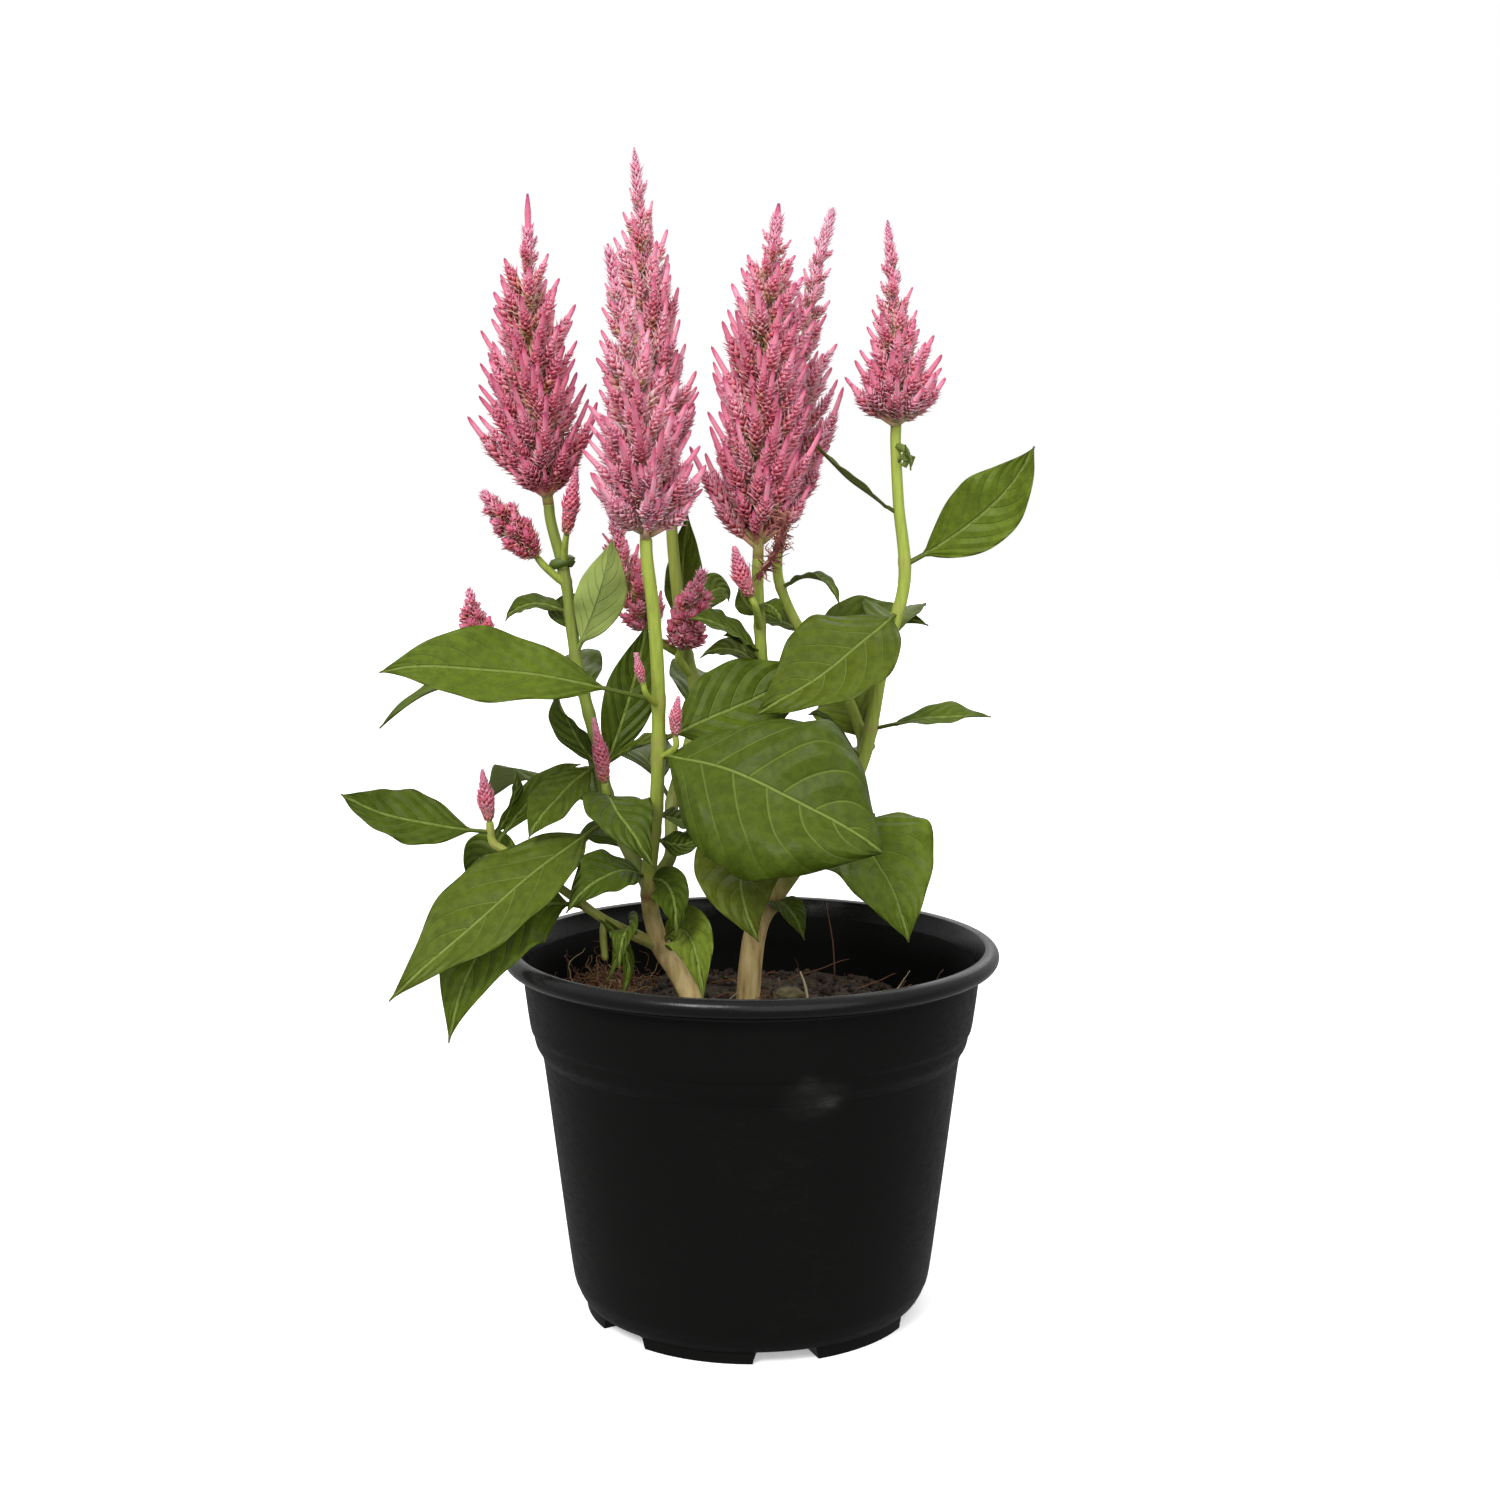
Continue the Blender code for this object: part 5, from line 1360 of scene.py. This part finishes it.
def make_stems(name, node, surface):
    shell = Shell("ring", "thick", "scar", "leafy")
    for route in LEAFY_STEMS[node]:
        path, radii = route_path(route)
        heights = path[:, 2]
        rings = np.zeros(len(path))
        for height in joint_heights(route):
            rings = np.maximum(rings, np.exp(-((heights - height - JOINT_RISE) / JOINT_REACH) ** 2))
        scars = np.zeros(len(path))
        if route in SCARS:
            scars = np.exp(-((heights - SCARS[route]) / SCAR_REACH) ** 2)
        swollen = radii * (1.0 + JOINT_SWELLING * rings + SCAR_SWELLING * scars)
        thick = 1.0 if route in TRUNKS else 0.25
        add_stem(shell, path, swollen, 20, 5, 0.05, rings, thick, scars, DARK_STEMS.get(route, 0.0))
        for bloom in shoots_on(route):
            add_stem(shell, *shoot_path(bloom), 12, 4, 0.05)
    for points, radius, leafy in STUBS[node]:
        path = smooth_path(points, 6)
        add_stem(shell, path, radius * np.linspace(1.0, 0.8, len(path)), 10, 4, 0.06, thick=0.1, leafy=leafy)
    for route, height, radius, thickness in CURLS.get(node, ()):
        turn = np.linspace(-0.3, 1.08 * math.tau, 30)[:, None]
        round_it = np.concatenate([np.cos(turn), np.sin(turn), 0.22 * np.cos(turn) + 0.05 * turn], 1)
        path = place_on_route(route, height) + radius * round_it
        add_stem(shell, path, np.full(30, thickness), 10, 4, 0.12, leafy=0.9)
    place_piece(shell.make(name, surface), "green_leaf", node)


# Leaves


def blade_half_width(share, tip_power):
    """Half the width of a leaf, as a share of its greatest, along its blade: oval with a drawn-out tip."""
    widest = LEAF_BASE_POWER / (LEAF_BASE_POWER + tip_power)
    most = widest ** LEAF_BASE_POWER * (1.0 - widest) ** tip_power
    return share ** LEAF_BASE_POWER * (1.0 - share) ** tip_power / most


def vein_hollow(blade, side):
    """The quilting between a leaf's side veins: 0 at a vein and 1 midway between two."""
    across = np.abs(side)
    along = blade - VEIN_SLANT * across - VEIN_ARCH * across ** VEIN_ARCH_POWER
    wave = np.mod(along * SIDE_VEINS + VEIN_OFFSET * (side > 0), 1.0)
    return np.abs(wave - 0.5) * 2.0


def leaf_lift(blade, side, half, width, draw):
    """How far a leaf rises from a flat one: its fold, waves, drooping margin, quilting and midrib groove."""
    across = np.abs(side)
    wave = np.sin(blade * math.tau * LEAF_WAVES + width * LEAF_WAVE_SHIFT) * LEAF_WAVE
    ruffle = np.sin(blade * draw.uniform(20.0, 28.0) + side * 1.3 + draw.uniform(0.0, 6.0))
    ruffle = ruffle * LEAF_RUFFLE * side ** 2
    billow = np.sin(blade * draw.uniform(7.0, 11.0) + side * draw.uniform(1.5, 3.0)) * LEAF_BILLOW
    rise = half * (LEAF_FOLD * across ** 1.25 + side * wave + ruffle + billow)
    if width > WIDE_LEAF:
        rise = rise - half * MARGIN_DROOP * np.clip(across - 0.6, 0.0, 1.0) ** 1.5
    quilt = LEAF_QUILT * vein_hollow(blade, side) * np.sin(math.pi * np.clip(blade, 0, 1)) * across ** 0.5
    quilt = quilt * (1.0 - across ** 4) * np.clip(width / 0.03, 0.0, 1.2)
    groove = MIDRIB_GROOVE * np.exp(-(side * half / MIDRIB_WIDTH) ** 2) * (blade > 0.0)
    return rise + quilt - groove


def leaf_faces(rows, columns):
    """Faces of a thin sheet: its upper side, its lower side and the rim between them."""
    under = rows * columns
    corner = (np.arange(rows - 1)[:, None] * columns + np.arange(columns - 1)[None, :]).ravel()
    quads = np.stack([corner, corner + columns, corner + columns + 1, corner + 1], -1)
    outline = np.concatenate([
        np.arange(rows) * columns,
        (rows - 1) * columns + np.arange(1, columns),
        np.arange(rows - 2, -1, -1) * columns + columns - 1,
        np.arange(columns - 2, 0, -1),
    ])
    beside = np.roll(outline, -1)
    rim = np.stack([outline, outline + under, beside + under, beside], -1)
    return [quads[:, ::-1], quads + under, rim[:, ::-1]]


def add_leaf(shell, base, middle, tip, width, upper_face, stalk, tone, draw):
    """A thin quilted blade on a stalk, bent along its midrib, folded a little and waved at its edges."""
    base, middle, tip = (np.asarray(point, float) for point in (base, middle, tip))
    turning = 2 * middle - (base + tip) / 2
    blade_shares = stalk + (1.0 - stalk) * np.linspace(0.0, 1.0, LEAF_STATIONS)
    share = np.concatenate([np.linspace(0.0, stalk, STALK_STATIONS)[:-1], blade_shares])[:, None]
    centre = base * (1 - share) ** 2 + turning * 2 * share * (1 - share) + tip * share ** 2
    along = unit((turning - base) * (1 - share) + (tip - turning) * share)
    looks = unit(np.asarray(upper_face, float))
    normal = unit(looks - along * (along @ looks)[:, None])
    across = np.cross(along, normal)
    blade = np.clip((share - stalk) / (1.0 - stalk), 0.0, 1.0)
    tip_power = WIDE_TIP_POWER if width > WIDE_LEAF else LEAF_TIP_POWER
    half = np.maximum(STALK_HALF_WIDTH * (1.0 - 0.75 * share), width / 2 * blade_half_width(blade, tip_power))
    side = np.linspace(-1.0, 1.0, LEAF_COLUMNS)[None, :]
    side = np.sign(side) * np.abs(side) ** 0.85
    lift = leaf_lift(blade, side, half, width, draw)
    on_stalk = np.clip(1.0 - blade / 0.08, 0.0, 1.0)
    thick = LEAF_THICKNESS + (STALK_THICKNESS - LEAF_THICKNESS) * on_stalk * (1.0 - side ** 2)
    edge = 1.0 - 0.7 * np.abs(side) ** 3
    surface = centre[:, None] + across[:, None] * (side * half)[..., None] + normal[:, None] * lift[..., None]
    shift = normal[:, None] * (thick * edge / 2)[..., None]
    top, bottom = surface + shift, surface - shift
    rows, columns = top.shape[:2]
    points = np.concatenate([top.reshape(-1, 3), bottom.reshape(-1, 3)])
    # A leaf's lightness is partly painted light and shade
    light, olive = LEAF_TONES_AND_PAINTED_LIGHT[tone]
    values = {"blade": blade, "side": side, "reach": np.abs(side * half)}
    for name, grid in values.items():
        values[name] = np.tile(np.broadcast_to(grid, (rows, columns)).ravel(), 2)
    shell.add(points, leaf_faces(rows, columns), light=light + draw.uniform(-0.06, 0.06), olive=olive,
              under=np.repeat([0.0, 1.0], rows * columns), **values)


def make_leaves(name, node, surface):
    shell = Shell("blade", "side", "reach", "light", "olive", "under")
    draw = np.random.default_rng(len(name))
    for route in LEAFY_STEMS[node]:
        for height, *row in LEAVES[route]:
            add_leaf(shell, place_on_route(route, height), *row, draw)
    place_piece(shell.make(name, surface), "green_leaf", node)


# Blooms


def radius_at(radii, share):
    return np.interp(share, [row[0] for row in radii], [row[1] for row in radii])


def along_axis(path, share):
    """The point of a bloom's axis at a share of it."""
    place = np.clip(share, 0.0, 1.0) * (len(path) - 1)
    low = np.minimum(place.astype(int), len(path) - 2)
    part = (place - low)[..., None]
    return path[low] * (1 - part) + path[low + 1] * part


def direction_at(path, share, step):
    return unit(along_axis(path, share + step) - along_axis(path, share - step))


def round_axis(along, aside, turns):
    """Unit vectors across the directions, each turned by its own angle."""
    first = unit(np.cross(along, np.array(aside)))
    second = np.cross(along, first)
    return first * np.cos(turns)[..., None] + second * np.sin(turns)[..., None]


def add_florets(shell, centre, along, radial, core, length, width, slant, values):
    """Narrow pointed scales that lean out of a spike. Every argument but the shell has one row a scale."""
    out = unit(radial)
    aim = unit(along * np.cos(slant)[:, None] + out * np.sin(slant)[:, None])
    aside = unit(np.cross(aim, out))
    ridge = np.cross(aside, aim)
    root = centre + out * (core * 0.55)[:, None]
    middle = root + aim * (length * 0.42)[:, None]
    half = aside * (width / 2)[:, None]
    tip = root + aim * length[:, None]
    points = np.stack([root, middle - half, middle + half, middle - ridge * (width * 0.20)[:, None], tip], 1)
    faces = np.array([(0, 1, 3), (1, 4, 3), (4, 2, 3), (2, 0, 3), (0, 2, 1), (1, 2, 4)])
    count = len(root)
    faces = (faces[None] + 5 * np.arange(count)[:, None, None]).reshape(-1, 3)
    spread_out = {name: np.repeat(value, 5) for name, value in values.items()}
    # From the root of each scale to its tip; it sets where the painted highlight and the painted shade fall
    edge = np.tile([0.0, 0.5, 0.5, 0.45, 1.0], count)
    shell.add(points.reshape(-1, 3), [faces], edge=edge, **spread_out)


def branch_curve(root, bend, tip, t):
    return root * (1 - t) ** 2 + bend * 2 * t * (1 - t) + tip * t ** 2


def add_branchlet(shell, draw, root, bend, tip, plump, rise, tones, chance, finger, bare=0.2):
    """A side spike: a short green stalk, a scaly cone, and a bare finger with a dark tip."""
    length = np.linalg.norm(tip - root)
    same = {"rise": rise, "deep": tones[0], "pale": tones[1]}
    stations, stoutness = np.transpose(SPIKE_STALK)
    stout = plump * stoutness
    points, faces, at = tube(branch_curve(root, bend, tip, stations[:, None]), stout, 7)
    # The edge value sets how much painted highlight the stalk and the finger get
    shell.add(points, faces, reach=stations[at], edge=0.45 + 0.3 * stations[at], chance=chance, **same)
    end = 1.0 - finger
    count = max(12, int(length * end / SCALE_STEP))
    share = bare + (end - bare) * (np.arange(count) + 0.5) / count
    column = share[:, None]
    centre = branch_curve(root, bend, tip, column)
    along = unit((bend - root) * (1 - column) + (tip - bend) * column)
    turns = np.arange(count) * GOLDEN_ANGLE + draw.uniform(0.0, math.tau)
    radial = round_axis(along, (0.31, 0.27, 0.91), turns)
    size = plump * np.interp((share - bare) / (end - bare), *SPIKE_CONE) * draw.uniform(0.8, 1.2, count)
    values = {
        "reach": np.clip(share * 0.80 + draw.uniform(-0.04, 0.10, count), 0.0, 0.86),
        "chance": np.clip(chance + draw.uniform(-0.35, 0.35, count), 0.0, 1.0),
    }
    values.update({name: np.full(count, value) for name, value in same.items()})
    slant = np.radians(34.0 + draw.uniform(-8.0, 8.0, count))
    core = np.interp(share, stations, stout)
    add_florets(shell, centre, along, radial, core, 1.35 * size, 0.64 * size, slant, values)


def add_axis_scales(shell, draw, path, share, step, core, size, width, reach, rise, chances, lean, tones):
    """Scales that stand straight on a bloom's axis, at shares of it."""
    count = len(share)
    along = direction_at(path, share, step)
    radial = round_axis(along, (0.31, 0.91, 0.27), np.arange(count) * GOLDEN_ANGLE)
    size = size * draw.uniform(0.8, 1.2, count)
    angle, sway = lean
    values = {
        "reach": reach[0] + draw.uniform(-reach[1], reach[1], count),
        "rise": rise,
        "deep": np.full(count, tones[0]),
        "pale": np.full(count, tones[1]),
        "chance": draw.uniform(*chances, count),
    }
    slant = np.radians(angle + draw.uniform(-sway, sway, count))
    add_florets(shell, along_axis(path, share), along, radial, core, size, size * width, slant, values)


def add_bud(shell, draw, path, radii, tones):
    """A closed bud: scales that lie close on a plump core."""
    shares = np.linspace(0.0, 1.0, 16)
    core = 0.72 * radius_at(radii, shares) * np.interp(shares, [0.0, 0.12], [0.5, 1.0])
    points, faces, at = tube(along_axis(path, shares), core, 10)
    shell.add(points, faces, reach=0.15 + 0.7 * shares[at], edge=0.3, rise=shares[at], chance=0.5,
              deep=tones[0], pale=tones[1])
    share = 0.02 + 0.93 * (np.arange(BUD_SCALES) + 0.5) / BUD_SCALES
    wide = radius_at(radii, share)
    add_axis_scales(
        shell, draw, path, share, step=0.04, core=wide * 1.15,
        size=np.clip(wide * 0.85, 0.0009, 0.0030), width=0.55,
        reach=(0.22 + 0.60 * share, 0.05), rise=share * 0.5,
        chances=(0.1, 0.9), lean=(20.0, 8.0), tones=tones,
    )


def add_tail(shell, draw, path, length, name, tones):
    """Scales straight on the rachis, from where the side spikes thin out to the bare tip."""
    start, end = BLOOM_TAILS.get(name, COMMON_TAIL)
    count = int(length * (end - start) / TAIL_SCALE_STEP)
    share = start + (end - start) * (np.arange(count) + 0.5) / count
    wide = np.minimum(radius_at(BLOOMS[name]["radii"], share), 0.0032)
    toned = 0.45 + 0.42 * np.clip((share - start) / (end - start), 0.0, 1.0) ** 2.0
    add_axis_scales(
        shell, draw, path, share, step=0.02, core=np.minimum(wide * 0.4, 0.0010),
        size=np.clip(wide * 1.3, 0.0010, 0.0032), width=0.40,
        reach=(toned, 0.06), rise=share, chances=(0.1, 0.95), lean=(32.0, 9.0), tones=tones,
    )


def add_branchlets(shell, draw, path, length, bloom, large, tones):
    """Side spikes all round a bloom, long ones and then short ones between them."""
    radii = bloom["radii"]
    steps = np.linspace(FIRST_SPIKE if large else SMALL_FIRST_SPIKE, LAST_SPIKE, 300)
    crowding = radius_at(radii, steps) + SLIM_CROWDING
    passed = np.cumsum(crowding) / crowding.sum()
    for layer, (many, low, high) in enumerate(SPIKE_LAYERS):
        count = int(bloom["count"] * many * (1.0 if large else SMALL_CROWDING))
        for number in range(count):
            share = float(np.interp((number + 0.5) / count, passed, steps))
            full = float(radius_at(radii, share))
            reach = full * draw.uniform(low, high) * float(np.interp(share, *FOOT_SLIMNESS))
            if reach < LEAST_REACH or (layer and large and share < FIRST_SHORT_SPIKE):
                continue
            root_share = max(0.02, share - float(np.interp(share, *SPIKE_SLOPES)) * reach / length)
            tip_share = np.array(max(share, root_share + 0.55 * reach / length))
            root = along_axis(path, np.array(root_share))
            upward = direction_at(path, tip_share, 0.03)
            turn = number * GOLDEN_ANGLE + draw.uniform(-0.3, 0.3) + layer * 1.1
            outward = round_axis(upward, (0.0, -1.0, 0.0), np.array(turn))
            tip = along_axis(path, tip_share) + outward * reach
            span = np.linalg.norm(tip - root)
            sag = 0.5 if share < LOW_SPIKES else 1.0
            bow = outward * draw.uniform(0.0, 0.12) - upward * 0.06
            bend = root + (tip - root) * 0.5 + sag * span * bow
            plump = min(PLUMP, (0.17 if large else 0.32) * span + 0.0004) * draw.uniform(0.85, 1.15)
            finger = draw.uniform(0.18, 0.34) if span > 0.006 else 0.12
            bare = 0.24 if share < LOW_SPIKES and large else 0.07
            rise = share * (1.0 if large else 0.35)
            chance = draw.uniform(0.1, 0.9)
            add_branchlet(shell, draw, root, bend, tip, plump, rise, tones, chance, finger, bare)


def make_bloom(name, surface):
    """A plume: a slim green rachis, side spikes all round it, and a scaly tail at its top."""
    bloom = BLOOMS[name]
    draw = np.random.default_rng(sum(ord(letter) for letter in name))
    tones = BLOOM_TONES.get(name, OTHER_BLOOM_TONE)
    shell = Shell("reach", "edge", "rise", "deep", "pale", "chance")
    path = smooth_path(bloom["axis"], 14)
    length = np.linalg.norm(np.diff(path, axis=0), axis=1).sum()
    radii = bloom["radii"]
    large = bloom["count"] > SMALL_BLOOM
    thickest = PLUME_RACHIS if large else SMALL_RACHIS
    shares = np.linspace(0.0, 1.0, 36)
    rachis = np.minimum(thickest * (1.0 - 0.50 * shares), np.maximum(0.0004, 0.85 * radius_at(radii, shares)))
    rachis = np.maximum(rachis, BARE_TIPS.get(name, 0.0) * np.interp(shares, [0.80, 0.93], [0.0, 1.0]))
    rachis = rachis * np.interp(shares, [0.95, 1.0], [1.0, 0.35])
    points, faces, at = tube(along_axis(path, shares), rachis, 8)
    fade = 0.05 + 0.945 * np.clip(shares[at] * 2.2 - 1.2, 0.0, 1.0)
    shell.add(points, faces, reach=fade, edge=0.4, rise=shares[at], deep=tones[0], pale=tones[1], chance=0.0)
    if max(radius for _, radius in radii) < BUD_RADIUS:
        add_bud(shell, draw, path, radii, tones)
    else:
        add_tail(shell, draw, path, length, name, tones)
        add_branchlets(shell, draw, path, length, bloom, large, tones)
    for root, tip, plump in LOBES.get(name, ()):
        root, tip = np.array(root), np.array(tip)
        bend = (root + tip) / 2 + np.array([(tip - root)[0] * 0.16, 0.0, -0.0015])
        add_branchlet(shell, draw, root, bend, tip, plump, 0.1, tones, 0.6, 0.26)
    place_piece(shell.make(name + "_florets", surface), "pink_plume", name)


def make_dry_spike():
    """A withered brown spike that hangs between two stems."""
    draw = np.random.default_rng(5)
    shell = Shell("shade")
    path = smooth_path(DRY_SPIKE, 10)
    points, faces, _ = tube(path, np.linspace(0.0006, 0.0009, len(path)), 7)
    shell.add(points, faces, shade=0.3)
    for _ in range(DRY_THREADS):
        share = draw.uniform() ** 1.3
        start = path[int(share * (len(path) - 1))]
        heading = (draw.normal(), draw.normal() * 0.8, draw.normal() * 0.8 + 0.3)
        fibre(shell, draw, start, heading, draw.uniform(0.0025, 0.0062), draw.uniform(0.00016, 0.00034),
              draw.uniform(0.0, 1.0), 0.5, 1.1, 6)
    surface = fibre_material(
        "dried floret", 0.8,
        (0.0, (0.10, 0.022, 0.018)),
        (0.5, (0.26, 0.065, 0.060)),
        (1.0, (0.50, 0.25, 0.16)),
    )
    place_piece(shell.make("dry_spike", surface), "pink_plume")


# Studio and camera


def make_studio():
    """A white backdrop, with soft light from above and in front."""
    world = bpy.data.worlds.new("studio")
    bpy.context.scene.world = world
    world.use_nodes = True
    tree = world.node_tree
    way = put(tree, "ShaderNodeSeparateXYZ", Vector=tree.nodes.new("ShaderNodeTexCoord").outputs["Generated"])
    sky = spread(tree, way.outputs["Z"], -0.3, 0.8, SKY_LOW, SKY_HIGH)
    seen = tree.nodes.new("ShaderNodeLightPath").outputs["Is Camera Ray"]
    background = tree.nodes["Background"]
    background.inputs["Color"].default_value = (1.0, 1.0, 1.0, 1.0)
    tree.links.new(calculate(tree, "MAXIMUM", sky, seen), background.inputs["Strength"])
    surface, tree, shader = new_material("pale floor")
    dress(tree, shader, {
        "Base Color": (0.93, 0.93, 0.93, 1.0),
        "Roughness": 0.9,
        "Specular IOR Level": 0.1,
        "Emission Color": (1.0, 1.0, 1.0, 1.0),
        "Emission Strength": FLOOR_GLOW,
    })
    far = STUDIO_REACH
    corners = [(-far, -far, 0.0), (far, -far, 0.0), (far, far, 0.0), (-far, far, 0.0)]
    floor = plain_object("floor", corners, [(0, 1, 2, 3)])
    floor.data.materials.append(surface)
    floor.visible_diffuse = False
    floor.visible_glossy = False
    for name, strength, angle, slope, turn in SUNS:
        light = bpy.data.lights.new(name, "SUN")
        light.energy = strength
        light.angle = math.radians(angle)
        lamp = link_object(name, light)
        lamp.rotation_euler = (math.radians(slope), 0.0, math.radians(turn))
    bpy.context.scene.view_settings.view_transform = "Standard"


def make_camera():
    camera = bpy.data.cameras.new("camera")
    camera.sensor_width = CAMERA_SENSOR
    camera.lens = CAMERA_LENS
    holder = link_object("camera", camera)
    holder.location = CAMERA_PLACE
    holder.rotation_euler = (math.pi / 2 - CAMERA_SLOPE, 0.0, 0.0)
    bpy.context.scene.camera = holder


def main():
    make_camera()
    make_studio()
    make_pot()
    make_soil()
    make_soil_litter()
    make_bark_chip()
    stem_surface = stem_material()
    leaf_surface = leaf_material()
    for side in ("left", "right"):
        make_stems("stems_" + side, "leafy_stems_" + side, stem_surface)
        make_leaves("leaves_" + side, "leafy_stems_" + side, leaf_surface)
    floret_surface = bloom_material()
    for name in BLOOMS:
        make_bloom(name, floret_surface)
    make_dry_spike()


main()
